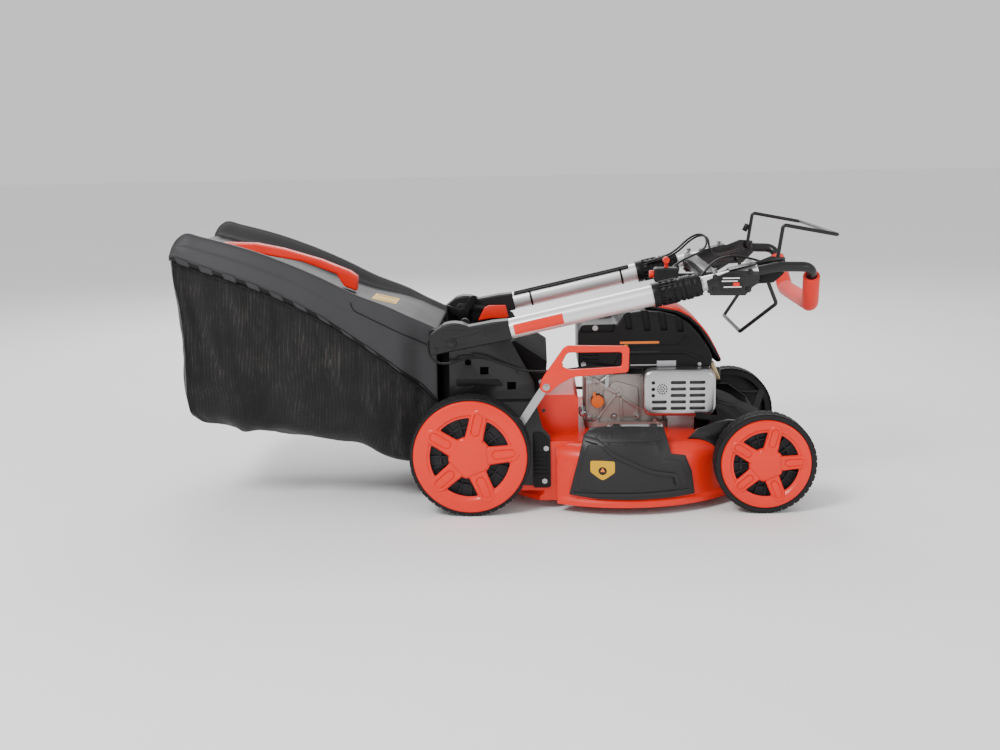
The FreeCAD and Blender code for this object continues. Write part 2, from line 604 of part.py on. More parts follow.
def rounded_front(block, radius):
    """Round every edge of a block but the ones round its open back."""
    back = block.BoundBox.YMax - 1
    return block.makeFillet(radius, [e for e in block.Edges if e.BoundBox.YMin < back])


def make_muffler():
    x = DECK_X
    body = box(x + 43, x + 191, -150, -112, 187, 272)
    pipe = rod(vec(x + 110, -113, 232), vec(x + 110, -56, 232), 13)
    body = body.makeFillet(10, body.Edges).fuse(pipe)

    outer = box(x + 39, GUARD_FRONT, -GUARD_OUT, GUARD_IN, GUARD_LOW, 283)
    inner = box(x + 41, GUARD_FRONT - 2, -GUARD_OUT + 2, GUARD_IN + 1, GUARD_LOW + 2, 281)
    guard = rounded_front(outer, 14).cut(rounded_front(inner, 12))
    cuts = []
    for row in range(5):
        z = 256 - 14.0 * row
        for column, (start, end) in enumerate(((x + 58, x + 90), (x + 98, x + 131), (x + 138, x + 172))):
            if column or row > 2:
                cuts.append(box(start, end, -170, -155, z - 3, z + 3))
        if row < 3:
            cuts.append(rod(vec(x + 60, -170, z), vec(x + 60, -155, z), 3.5))
    for ring, count in ((0, 1), (5, 6), (10, 12)):
        for i in range(count):
            turn = 2 * math.pi * i / count
            cx = x + 80 + ring * math.cos(turn)
            cz = 242 + ring * math.sin(turn)
            cuts.append(rod(vec(cx, -170, cz), vec(cx, -155, cz), 1.6))
    NODES["muffler"] = body
    NODES["muffler_guard"] = guard.cut(Part.makeCompound(cuts))


def make_shroud():
    x = DECK_X
    skin = [(x - 97, 276), (x - 97, 366), ((x - 95, 374), (x - 85, 376)), (x - 12, 376),
            (x + 2, 402), ((x + 62, 406), (x + 115, 393)), ((x + 155, 366), (x + 181, 326)),
            (x + 194, 302), (x + 190, 280)]
    hollow = [(x - 94, 275), (x - 94, 366), (x - 85, 373), (x - 10, 373), (x + 4, 399),
              ((x + 62, 403), (x + 113, 390)), ((x + 152.5, 363.5), (x + 178, 324.5)),
              (x + 190.5, 301), (x + 187, 275)]
    shell = slab(skin, -SHROUD_Y, SHROUD_Y)
    shell = shell.cut(slab(hollow, -SHROUD_Y + 3, SHROUD_Y - 3))
    hole = rod(vec(ROPE_X, ROPE_Y, 360), vec(ROPE_X, ROPE_Y, 380), 3)
    NODES["engine_shroud"] = shell.cut(hole)

    crest = [(x + 50, 408), (x + 115, 396), ((x + 160, 370), (x + 187, 329)), (x + 200, 306),
             (x + 214, 287), (x + 218, 289), (x + 205, 316), (x + 192, 340),
             ((x + 165, 374), (x + 124, 402)), (x + 50, 416)]
    crest = slab(crest, -74, 74)
    NODES["engine_top_cover"] = crest.cut(slab(skin, -80, 80))


def make_engine_trim():
    x = DECK_X
    filter_box = box(x - 70, x + 44, SHROUD_Y + 1, SHROUD_Y + 42, 262, 350)
    filter_box = filter_box.makeFillet(8, filter_box.Edges)
    body = rod(vec(x - 20, 106, 236), vec(x - 20, 150, 236), 15)
    bowl = rod(vec(x - 20, 132, 205), vec(x - 20, 132, 240), 13)
    stack = rod(vec(x - 20, 132, 236), vec(x - 20, 132, 261.5), 11)
    NODES["air_intake"] = Part.makeCompound([filter_box, body.multiFuse([bowl, stack])])
    cap = rod(vec(x - 40, 30, 376.4), vec(x - 40, 30, 394), 22)
    NODES["fuel_cap"] = cap.makeFillet(4, [cap.Edges[0]])
    rope = rod(vec(ROPE_X, ROPE_Y, 300), vec(ROPE_X, ROPE_Y, 386), 2)
    grip = box(ROPE_X - 13, ROPE_X + 13, ROPE_Y - 24, ROPE_Y + 24, 378, 400)
    NODES["starter_grip"] = grip.makeFillet(8, grip.Edges).fuse(rope)
    y = -SHROUD_Y - 6
    plate = box(x + 72, x + 113, y - 1, y + 1, 284.5, 297)
    wire = rod(vec(x + 15, y, 288), vec(x + 73, y, 288), 2)
    NODES["throttle_link"] = plate.fuse(wire)


def make_crank_train():
    x = DECK_X
    NODES["crankshaft"] = rod(vec(x, 0, 50), vec(x, 0, 322), SHAFT_R)
    wheel_body = rod(vec(x, 0, 284), vec(x, 0, 308), 86).fuse(rod(vec(x, 0, 307), vec(x, 0, 320), 24))
    fins = []
    for i in range(16):
        fin = box(x + 50, x + 84, -1.5, 1.5, 307, 326)
        fins.append(fin.rotate(vec(x, 0, 0), vec(0, 0, 1), 22.5 * i))
    flywheel = wheel_body.multiFuse(fins)
    NODES["flywheel"] = flywheel.cut(rod(vec(x, 0, 280), vec(x, 0, 330), SHAFT_R))
    bar = box(x - BLADE_R, x + BLADE_R, -26, 26, 42, 46)
    tips = []
    for turn in (0, 180):
        wing = box(x + BLADE_R - 92, x + BLADE_R, 18, 26, 45, 60)
        tips.append(wing.rotate(vec(x, 0, 0), vec(0, 0, 1), turn))
    blade = bar.multiFuse(tips).common(rod(vec(x, 0, 30), vec(x, 0, 70), BLADE_R))
    NODES["blade"] = blade.cut(rod(vec(x, 0, 30), vec(x, 0, 50), 6))
    holder = rod(vec(x, 0, 46), vec(x, 0, 74), 24).cut(rod(vec(x, 0, 50), vec(x, 0, 75), SHAFT_R))
    bolt = hex_bolt(vec(x, 0, 42), vec(0, 0, -1), 11).fuse(rod(vec(x, 0, 42), vec(x, 0, 46), 6))
    NODES["blade_holder_and_bolt"] = Part.makeCompound([holder, bolt])


# ---- bag ----
# share of the length from the mouth, then the heights of the rail, the ridge and the floor
BAG_SHAPE = ((0.0, 230, 383, 118), (0.053, 262, 397, 109), (0.1, 285, 409, 105),
             (0.179, 321, 431, 108), (0.306, 371, 459, 132), (0.442, 421, 497, 141),
             (0.585, 462, 532, 153), (0.735, 497, 562, 173), (0.893, 527, 586, 187),
             (0.948, 538, 593, 192), (1.0, 549, 574, 201))


def bag_x(share):
    return BAG_FRONT - BAG_LEN * share


def blend_width(share, wide, narrow):
    """Half width that closes in towards the mouth."""
    ease = min(1.0, max(0.0, (share - 0.053) / 0.1))
    return narrow + (wide - narrow) * ease


def recess(share):
    """Depth of the cover's trough below its ridges: deep in the middle, shallow at both ends."""
    rise = min(1.0, max(0.0, (share - 0.1) / 0.35))
    fade = min(1.0, (1.0 - share) / 0.052)
    return 12 + 28 * min(rise, fade)


def loft(sections):
    """Solid through outlines of equal point counts in planes of constant x, in flat facets."""
    rings = [[vec(x, y, z) for y, z in points] for x, points in sections]
    faces = [Part.Face(Part.makePolygon(ring + ring[:1])) for ring in (rings[0], rings[-1])]
    for near, far in zip(rings, rings[1:]):
        for i in range(len(near)):
            a, b = near[i - 1], near[i]
            c, d = far[i], far[i - 1]
            faces.append(Part.Face(Part.makePolygon([a, b, c, a])))
            faces.append(Part.Face(Part.makePolygon([a, c, d, a])))
    solid = Part.makeSolid(Part.makeShell(faces))
    if solid.Volume < 0:
        solid.reverse()
    return solid


def cover_section(share, inset):
    _, rail, ridge, _ = share
    f = share[0]
    rail_y = blend_width(f, RAIL_SIDE, MOUTH_SIDE + 2) - inset
    ridge_y = blend_width(f, RIDGE_SIDE, MOUTH_SIDE) - inset
    top = ridge - inset
    trough = ridge - recess(f) - inset
    drop = rail - (inset and 4)
    half = [(rail_y, drop), (rail_y, rail + 8), (ridge_y, top), (ridge_y - 13 + 2 * inset, top),
            (ridge_y - 18 + 2 * inset, trough)]
    return half + [(-y, z) for y, z in reversed(half)]


def body_section(row, inset):
    f, rail, _, floor = row
    y = blend_width(f, BAG_SIDE, MOUTH_SIDE - 4) - inset
    top = rail + (inset and 1)
    half = [(y, top), (y, floor + 26 + inset), (y - 24, floor + inset)]
    return half + [(-y, z) for y, z in reversed(half)]


def make_bag():
    outer = loft([(bag_x(row[0]), cover_section(row, 0)) for row in BAG_SHAPE])
    rows = BAG_SHAPE[:-1]
    inner = [(bag_x(row[0]) + (0 if row[0] else 1), cover_section(row, BAG_WALL)) for row in rows]
    end = (1.0, 547, 572, 201)
    inner.append((bag_x(1.0) + BAG_WALL, cover_section(end, BAG_WALL)))
    NODES["bag_cover"] = outer.cut(loft(inner))

    rear = bag_x(1.0) - 17
    lower = [(bag_x(row[0]), body_section(row, 0)) for row in BAG_SHAPE]
    lower.append((rear, body_section((1.0, 549, 574, 205), 0)))
    hollow = [(bag_x(row[0]) + (0 if row[0] else 1), body_section(row, BAG_WALL)) for row in BAG_SHAPE]
    hollow.append((rear + BAG_WALL, body_section((1.0, 546, 574, 204), BAG_WALL)))
    bag = loft(lower)
    NODES["bag_body"] = bag.cut(loft(hollow))

    grip = [(-575, 541), (-559, 558), (-482, 555), (-421, 542), (-337, 516), (-273, 489),
            (-257, 477), (-260, 444), (-288, 455), (-296, 468), (-304, 483), (-380, 512),
            (-457, 527), (-520, 531)]
    handle = slab(grip, -14, 14)
    NODES["bag_handle"] = handle.cut(outer).cut(bag)

    half = MOUTH_SIDE - 14
    x = BAG_FRONT - 12
    corners = [vec(x, -half, 240), vec(x, -half, 141), vec(x, half, 141), vec(x, half, 350),
               vec(x, -half, 350), vec(x, -half, 244)]
    NODES["bag_frame"] = bent_rod(corners, 3.5, 14)


# ---- lower handle ----
def make_lower_handle():
    tube = tube_rod(0, TUBE_LEN, TUBE_R).cut(tube_rod(-1, TUBE_LEN + 1, TUBE_R - TUBE_WALL))
    NODES["lower_tubes"] = both(tube)

    x, z = FOLD_X, FOLD_Z
    inner = TUBE_Y - TUBE_R + GAP
    outer = TUBE_Y + TUBE_R - GAP
    face_low = on_tube(0, -TUBE_R + 0.5)
    face_high = on_tube(0, TUBE_R - 0.5)
    shape = [(x - 44, z - 28), face_low, face_high, (x + 86, z + 42), (x + 36, z + 33),
             ((x + 8, z + 41), (x - 17, z + 37)), (x - 46, z + 14)]
    body = slab(shape, inner, outer)
    long_edges = [e for e in body.Edges if e.BoundBox.YLength < 1 and e.BoundBox.XLength > 30]
    body = body.makeFillet(5, long_edges)
    spigot = tube_rod(-6, 60, TUBE_R - TUBE_WALL - 0.05)
    body = body.fuse(spigot).cut(cross_rod((x, z), 0, DECK_RIM, KNOB_SHANK + RUN))
    NODES["fold_knuckles"] = both(body)


def make_knobs():
    """Three-lobed knob and its bolt at each fold hinge."""
    centre = (FOLD_X, FOLD_Z)
    inner = BRACKET_Y - 11
    lobes = [arm(centre, polar(centre, 43, turn), 9, inner, BRACKET_Y - 1) for turn in (53, 163, 275)]
    hub = cross_rod(centre, inner - 4, BRACKET_Y - 0.5, 14)
    shank = cross_rod(centre, BRACKET_Y - 2, TUBE_Y + TUBE_R - 2, KNOB_SHANK)
    knob = hub.multiFuse(lobes + [shank]).removeSplitter()
    NODES["fold_knob_left"] = knob
    NODES["fold_knob_right"] = mirrored(knob)

    x, z = LOCK_PIVOT
    y = BRACKET_Y - 21
    lock = slab([(x - 61, z - 14), (x - 45, z + 17), (x - 34, z + 22), (x + 6, z + 22),
                 (x + 12, z - 7), (x + 2, z - 9), (x - 30, z - 9)], y, y + 9)
    pin = cross_rod(LOCK_PIVOT, y + 8, BRACKET_Y + STEEL - 0.2, 3)
    NODES["fold_lock_lever"] = lock.fuse(pin)


def make_collars():
    """Ribbed twist collars that clamp the telescoping tubes."""
    a = COLLAR_START
    b = a + COLLAR_LEN
    body = tube_rod(a, b, 23)
    ribs = [tube_rod(a, a + 14, 25.5)]
    for start in (22, 34, 46, 58, 70):
        ribs.append(tube_rod(a + start, a + start + 7, 25))
    ribs.append(tube_rod(b - 14, b - 6, 22.9))
    boss_at = on_tube(a + 30)
    boss = rod(vec(boss_at[0], TUBE_Y + 20, boss_at[1]), vec(boss_at[0], TUBE_Y + 27, boss_at[1]), 9)
    body = body.multiFuse(ribs + [boss])
    body = body.cut(tube_rod(a - 1, TUBE_LEN + 0.5, TUBE_R + RUN))
    body = body.cut(tube_rod(TUBE_LEN - 1, b + 1, INNER_R + RUN))
    NODES["collar_left"] = body
    NODES["collar_right"] = mirrored(body)


# ---- upper handle ----
def make_upper_handle():
    tube = tube_rod(INNER_START, INNER_END, INNER_R).cut(
        tube_rod(INNER_START - 1, INNER_END + 1, INNER_R - TUBE_WALL))
    NODES["inner_tubes"] = both(tube)

    # sheet bracket over the end of each telescoping tube
    near = [(489, 483), (497, 452), (569, 451), (598, 485), (596, 500), (540, 503)]
    far = near[:3] + [(600, 470), (632, 472), (657, 496), (655, 524), (625, 527), (596, 516),
                      (540, 503)]
    outside = slab([shift_tip(p) for p in near], TUBE_Y + INNER_R + 1, TUBE_Y + INNER_R + 4)
    inside = slab([shift_tip(p) for p in far], PLATE_IN, PLATE_IN + STEEL)
    a = on_tube(INNER_END - 58, INNER_R + 0.5)
    b = on_tube(INNER_END - 2, INNER_R + 0.5)
    c = on_tube(INNER_END - 2, INNER_R + 3.5)
    d = on_tube(INNER_END - 58, INNER_R + 3.5)
    web = slab([a, b, c, d], PLATE_IN, TUBE_Y + INNER_R + 4)
    plates = web.multiFuse([outside, inside])
    for pivot in (shift_tip(DRIVE_DRAWN), shift_tip(BRAKE_DRAWN)):
        plates = plates.cut(cross_rod(pivot, 0, DECK_RIM, WIRE_R + RUN))
    bridge = slab([shift_tip(p) for p in ((493, 470), (519, 469), (519, 496), (493, 495))],
                  -PLATE_IN, PLATE_IN)
    NODES["upper_bracket"] = plates.multiFuse([mirrored(plates), bridge])


def shift_tip(point):
    """Move an upper-handle point with the end of the telescoping tube."""
    end = on_tube(INNER_END)
    return (point[0] + end[0] - TIP_DRAWN[0], point[1] + end[1] - TIP_DRAWN[1])


def make_handlebar():
    end = on_tube(INNER_END)
    start = on_tube(INNER_END - 40)

    def at(x, z, y):
        px, pz = shift_tip((x, z))
        return vec(px, y, pz)

    outward = TUBE_Y
    side = [vec(end[0], -outward, end[1]), at(641, 507, -outward + 3), at(708, 505, -outward + 8),
            at(722, 419, -outward + 85)]
    loop = side + [vec(p.x, -p.y, p.z) for p in reversed(side)]
    bar = bent_rod(loop, BAR_R, 24, "handlebar")
    first = side[2] + (side[3] - side[2]).normalize() * 27
    foam_path = [first, side[3], vec(side[3].x, -side[3].y, side[3].z), vec(first.x, -first.y, first.z)]
    foam = bent_rod(foam_path, FOAM_R, 24, "grip")
    hollow = bent_rod(loop, BAR_R + 0.02, 24)
    NODES["handlebar_grip"] = foam.cut(hollow)
    plugs = []
    for y in (-outward, outward):
        plug = rod(vec(start[0], y, start[1]), vec(end[0], y, end[1]), INNER_R - TUBE_WALL - 0.05)
        plugs.append(plug)
    NODES["handlebar"] = bar.multiFuse(plugs)


def bail(pivot, knee, elbow, tip, tip_y, side_y):
    """Wire bail: a pin into each bracket plate, two legs and a cross bar."""
    def at(p, y):
        return vec(p[0], y, p[1])

    half = [at(pivot, PLATE_IN + STEEL + 2.5), at(pivot, side_y), at(knee, side_y)]
    if elbow:
        half.append(at(elbow, side_y))
    half.append(at(tip, tip_y))
    return bent_rod(half + [vec(p.x, -p.y, p.z) for p in reversed(half)], WIRE_R, 6.5)


def make_bails():
    side = PLATE_IN - 9
    drive = bail(shift_tip(DRIVE_DRAWN), shift_tip((652, 590)), None, shift_tip((764, 568)), side, side)
    NODES["drive_bail"] = drive
    brake = bail(shift_tip(BRAKE_DRAWN), shift_tip((641, 427)), None, shift_tip((578, 358)), 120, side)
    NODES["brake_bail"] = brake


def make_speed_control():
    x, z = shift_tip((451, 478))
    case = box(x - 53, x, -78, -42, z - 17, z + 14)
    case = case.makeFillet(5, case.Edges)
    stay = box(x - 4, x + 44, -68, -52, z - 6, z)
    body = case.fuse(stay).cut(NODES["upper_bracket"])
    slot = box(x - 43, x - 9, -63, -57, z - 9, z + 20)
    pivot = (x - 26, z - 2)
    NODES["speed_control"] = body.cut(slot).cut(cross_rod(pivot, -68, -52, 2 + RUN))
    lever = arm(pivot, polar(pivot, 30, 90), 4, -62.3, -57.7).fuse(cross_rod(pivot, -67, -53, 2))
    knob = rod(vec(pivot[0], -68, pivot[1] + 32), vec(pivot[0], -52, pivot[1] + 32), 7)
    NODES["speed_lever"] = lever.fuse(knob)


# ---- cables ----
def make_cables():
    x = DECK_X
    low = [vec(x - 4, -123, 283), vec(x - 40, -124, 286), vec(x - 76, -140, 289),
           vec(x - 108, -166, 290), vec(x - 144, -190, 290), vec(x - 182, -205, 291),
           vec(x - 219, -214, 297), vec(x - 260, -215, 312), vec(x - 300, -216, 326),
           vec(x - 336, -216, 325), vec(x - 366, -216, 313), vec(x - 398, -216, 314),
           vec(FOLD_X - 53, -216, 338), vec(FOLD_X - 50, -216, FOLD_Z)]
    near = bent_rod(low, 2.5, None, "engine cable")
    far = [vec(x - 180, 188, 233), vec(x - 183, 203, 258), vec(x - 218, 213, 280),
           vec(x - 262, 215, 303), vec(x - 300, 216, 320), vec(x - 336, 216, 322),
           vec(x - 368, 216, 312), vec(x - 398, 216, 316), vec(FOLD_X - 53, 216, 338),
           vec(FOLD_X - 50, 216, FOLD_Z)]
    NODES["lower_cables"] = Part.makeCompound([near, bent_rod(far, 2.5, None, "drive cable")])

    lift = TUBE_R + 3.2
    steps = [on_tube(s, lift * 0.72) for s in (4, 56, 110, 168, 228, 285)]
    tube = [vec(px, TUBE_Y - lift * 0.70 + wave, pz) for (px, pz), wave in zip(steps, (0, 1, -1, 1, -1, 1))]
    NODES["tube_cables"] = bent_rod(tube, 2.5, None, "tube cable")

    top = [(402, 196, 478), (440, 188, 488), (472, 180, 506), (496, 170, 532), (520, 152, 548),
           (536, 128, 542), (534, 102, 522), (512, 80, 508), (482, 56, 500), (452, 30, 486),
           (436, -2, 474), (430, -40.5, 468)]
    loop = []
    for px, py, pz in top:
        qx, qz = shift_tip((px, pz))
        loop.append(vec(qx, py, qz))
    NODES["upper_cables"] = bent_rod(loop, 2.5, None, "upper cable")


def make_all():
    make_wheels()
    make_height_gear()
    make_height_lever()
    make_deck()
    pan = deck_pan()
    make_side_frames()
    make_front_brackets(pan)
    make_nose_cover(pan)
    make_chute()
    loose = make_rear_door() + make_side_door(pan) + make_bolts()
    NODES["bolts_pins_and_spring"] = Part.makeCompound(loose)
    make_crankcase()
    make_cylinder()
    make_muffler()
    make_shroud()
    make_engine_trim()
    make_crank_train()
    make_bag()
    make_lower_handle()
    make_knobs()
    make_collars()
    make_upper_handle()
    make_handlebar()
    make_bails()
    make_speed_control()
    make_cables()


def export_all():
    """Move everything so that the origin is under the middle of the overall box, and write it."""
    os.makedirs("parts", exist_ok=True)
    whole = FreeCAD.BoundBox()
    for shape in NODES.values():
        whole.add(shape.optimalBoundingBox(True, False))
    shift = vec(-whole.Center.x, 0, 0)
    print("nodes", len(NODES), "shift", round(shift.x, 3), "box", whole)
    for name, shape in NODES.items():
        moved = shape.copy()
        moved.translate(shift)
        if not moved.isValid() or not moved.Solids:
            print("check", name, moved.isValid(), len(moved.Solids))
        moved.exportStep("parts/" + name + ".step")


make_all()
export_all()
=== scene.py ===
"""Finished looks of a petrol lawn mower: materials, plastic shells, wheels, grass bag and details.

It is laid out as an add-on. Each operator makes one piece or a group of like pieces round the
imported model, which is loaded as a fixed frame. Outlines are in millimetres along X from the
rear axle and up from the ground, as the design drawing has them, and at() turns them into metres
of the frame. Pieces are drawn on the mower's right side, towards -Y, and copied to its left.
"""
import json
import math

import bpy
from bpy.props import FloatProperty, FloatVectorProperty, IntProperty, PointerProperty
from mathutils import Matrix, Vector, noise


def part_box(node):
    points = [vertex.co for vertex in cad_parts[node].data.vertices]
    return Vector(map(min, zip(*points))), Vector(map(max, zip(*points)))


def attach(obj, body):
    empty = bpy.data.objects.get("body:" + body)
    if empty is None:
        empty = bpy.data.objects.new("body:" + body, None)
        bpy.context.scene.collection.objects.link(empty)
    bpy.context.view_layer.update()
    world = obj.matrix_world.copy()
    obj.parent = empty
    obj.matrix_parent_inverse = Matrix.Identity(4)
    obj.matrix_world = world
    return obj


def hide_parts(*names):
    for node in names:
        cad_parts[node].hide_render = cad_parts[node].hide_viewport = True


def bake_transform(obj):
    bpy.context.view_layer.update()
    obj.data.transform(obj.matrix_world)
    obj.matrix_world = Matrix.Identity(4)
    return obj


bl_info = {
    "name": "Lawn Mower Looks",
    "version": (1, 0, 0),
    "blender": (4, 5, 0),
    "location": "View3D > Sidebar > Mower",
    "description": "Makes the visible shells, fabric, wheels, labels and materials of a lawn mower",
    "category": "Object",
}

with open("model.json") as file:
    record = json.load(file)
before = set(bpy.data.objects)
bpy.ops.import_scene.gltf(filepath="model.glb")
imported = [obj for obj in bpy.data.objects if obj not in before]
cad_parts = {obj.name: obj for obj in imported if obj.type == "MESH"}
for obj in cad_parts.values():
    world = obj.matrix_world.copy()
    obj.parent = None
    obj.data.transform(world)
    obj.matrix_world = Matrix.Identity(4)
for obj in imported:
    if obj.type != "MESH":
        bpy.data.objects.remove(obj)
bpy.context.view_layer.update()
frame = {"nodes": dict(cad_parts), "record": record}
RECORD = frame["record"]
BODY = {node: body for body, nodes in RECORD["behaviour"]["bodies"].items() for node in nodes}
SLOT = {row["node"]: row["material_slot"] for row in RECORD["subparts"]}
MM = 0.001


# ---- places read from the frame ----
def middle_x(node):
    low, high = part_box(node)
    return (low[0] + high[0]) / 2


AXLE_X = middle_x("rear_axle")
SHAFT_X = (middle_x("crankshaft") - AXLE_X) / MM        # engine shaft, from the rear axle
DECK_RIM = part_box("deck_shell")[1][1] / MM
TUBE_Y = (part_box("lower_tubes")[1][1] - 0.021) / MM
SLOPE = math.radians(12.4)                              # slope of the folded handle
FOLD = (-35.0, 362.0)                                   # fold hinge
TUBE_START = 125.0                                      # fold hinge to the tube's visible start
TIP_DRAWN = (595.9, 498.7)                              # the inner tube's end in the drawn outlines
DOOR_HINGE = (-236.0, 178.0)                            # y and z of the side door's rod
LEVER_PIVOT = (160.0, 269.0)                            # bolt of the height lever's hand loop
OIL_FILLER = (SHAFT_X - 56, 208.0)
CASE_FACE = -106.0                                      # outer face of the crankcase
FRAME_FACE = -200.0                                     # outer face of the upper frame plates


def at(x, y, z):
    """Frame point of a place in drawing millimetres."""
    return Vector((AXLE_X + x * MM, y * MM, z * MM))


def box_mm(node):
    """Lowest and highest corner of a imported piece, in drawing millimetres."""
    return [((x - AXLE_X) / MM, y / MM, z / MM) for x, y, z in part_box(node)]


def on_tube(along, up=0.0):
    """X and z on the handle tube, along it from its visible start and above its axis."""
    c, s = math.cos(SLOPE), math.sin(SLOPE)
    return (FOLD[0] + (TUBE_START + along) * c - up * s,
            FOLD[1] - 2.0 + (TUBE_START + along) * s + up * c)


TIP = on_tube(521)


def shift_tip(x, z):
    """Place on the upper handle, which moves with the end of the telescoping tube."""
    return (x + TIP[0] - TIP_DRAWN[0], z + TIP[1] - TIP_DRAWN[1])


def shift_outline(*points):
    return [shift_tip(x, z) for x, z in points]


def shift_route(*points):
    return [(shift_tip(x, z)[0], y, shift_tip(x, z)[1]) for x, y, z in points]


# ---- sizes and colours that a user would change ----
def length(name, description, default):
    return FloatProperty(name=name, description=description, default=default, unit="LENGTH")


def tone(name, description, default):
    return FloatVectorProperty(name=name, description=description, default=default, subtype="COLOR")


class MowerSizes(bpy.types.PropertyGroup):
    tread_lugs: IntProperty(name="Tread lugs", description="Lugs round each tyre", default=44, min=8)
    rear_slot_in: length("Rear opening inner radius", "Inner radius of the rear cover's openings", 0.045)
    rear_slot_out: length("Rear opening outer radius", "Outer radius of the rear cover's openings", 0.084)
    front_slot_in: length("Front opening inner radius", "Inner radius of the front cover's openings", 0.036)
    front_slot_out: length("Front opening outer radius", "Outer radius of the front cover's openings", 0.068)
    fabric_slack: length("Fabric slack", "How far the bag's fabric may move as it settles", 0.014)
    shell_wall: length("Bag cover wall", "Thickness of the bag's hard cover", 0.003)
    clip_count: IntProperty(name="Bag clips", description="Clips along each side of the bag's seam",
                            default=11, min=2)
    cable_radius: length("Cable radius", "Radius of the control cables", 0.0025)


class MowerColours(bpy.types.PropertyGroup):
    red_paint: tone("Deck paint", "Enamel of the deck", (0.76, 0.020, 0.006))
    red_plastic: tone("Red plastic", "Wheel covers, lever and trim", (0.78, 0.020, 0.006))
    black_plastic: tone("Black plastic", "Moulded covers", (0.0065, 0.0065, 0.007))
    grey_plastic: tone("Grey plastic", "Hinge knuckles", (0.011, 0.011, 0.012))
    bag_cover: tone("Bag cover", "Hard cover of the bag", (0.036, 0.036, 0.038))
    fabric: tone("Bag fabric", "Threads of the bag's mesh", (0.0055, 0.0052, 0.0054))
    tube: tone("Handle tube", "Anodised tubes", (0.80, 0.80, 0.80))
    label_yellow: tone("Label yellow", "Plain safety labels", (0.66, 0.36, 0.0))


def sizes():
    return bpy.context.scene.mower_sizes


def colours():
    return bpy.context.scene.mower_colours


# ---- materials ----
MATERIALS = {}
WEAVE_PITCH = 0.0032                                    # threads of the bag's mesh
STRIPE_PITCH = 0.0072


def nodes_of(name):
    material = bpy.data.materials.new(name)
    material.use_nodes = True
    tree = material.node_tree
    return material, tree, tree.nodes["Principled BSDF"]


def add_node(tree, kind, **inputs):
    """New node whose inputs are set to numbers or linked to sockets, by input name."""
    node = tree.nodes.new(kind)
    for name, value in inputs.items():
        socket = node.inputs[name.replace("_", " ")]
        if isinstance(value, bpy.types.NodeSocket):
            tree.links.new(value, socket)
        else:
            socket.default_value = value
    return node


def object_place(tree, scale=(1, 1, 1)):
    """Object coordinates through a Mapping node."""
    coordinates = tree.nodes.new("ShaderNodeTexCoord")
    return add_node(tree, "ShaderNodeMapping", Vector=coordinates.outputs["Object"],
                    Scale=scale).outputs["Vector"]


def noise_field(tree, place, scale, detail=4.0, roughness=0.6):
    return add_node(tree, "ShaderNodeTexNoise", Vector=place, Scale=scale, Detail=detail,
                    Roughness=roughness).outputs["Fac"]


def ramp(tree, value, stops):
    node = add_node(tree, "ShaderNodeValToRGB", Fac=value)
    while len(node.color_ramp.elements) < len(stops):
        node.color_ramp.elements.new(0.5)
    for element, (position, colour) in zip(node.color_ramp.elements, stops):
        element.position = position
        element.color = (*colour, 1.0)
    return node.outputs["Color"]


def spread(tree, value, low, high):
    """The middle of a noise's range spread over a smaller one."""
    return add_node(tree, "ShaderNodeMapRange", Value=value, From_Min=0.3, From_Max=0.7,
                    To_Min=low, To_Max=high).outputs["Result"]


def relief(tree, shader, height, strength, distance):
    bump = add_node(tree, "ShaderNodeBump", Height=height, Strength=strength, Distance=distance)
    tree.links.new(bump.outputs["Normal"], shader.inputs["Normal"])


def shade(colour, factor):
    return tuple(min(1.0, part * factor) for part in colour)


def make_finish(name, colour, rough, metal=0.0, coat=0.0, grain=900.0, depth=0.0001,
                strength=0.25, vary=0.14, stretch=(1, 1, 1), sheen=0.0, shine=0.32):
    """A surface whose tone and roughness drift slowly, with a fine grain over them."""
    material, tree, shader = nodes_of(name)
    place = object_place(tree, stretch)
    drift = noise_field(tree, place, 9.0, 5.0)
    tint = ramp(tree, drift, [(0.25, shade(colour, 1 - vary)), (0.75, shade(colour, 1 + vary))])
    tree.links.new(tint, shader.inputs["Base Color"])
    tree.links.new(spread(tree, drift, rough - 0.05, rough + 0.07), shader.inputs["Roughness"])
    shader.inputs["Metallic"].default_value = metal
    shader.inputs["Coat Weight"].default_value = coat
    shader.inputs["Coat Roughness"].default_value = 0.12
    shader.inputs["Sheen Weight"].default_value = sheen
    shader.inputs["Specular IOR Level"].default_value = shine
    relief(tree, shader, noise_field(tree, place, grain, 3.0), strength, depth)
    MATERIALS[name] = material


def math_node(tree, operation, *values):
    node = tree.nodes.new("ShaderNodeMath")
    node.operation = operation
    for socket, value in zip(node.inputs, values):
        if isinstance(value, (int, float)):
            socket.default_value = value
        else:
            tree.links.new(value, socket)
    return node.outputs[0]


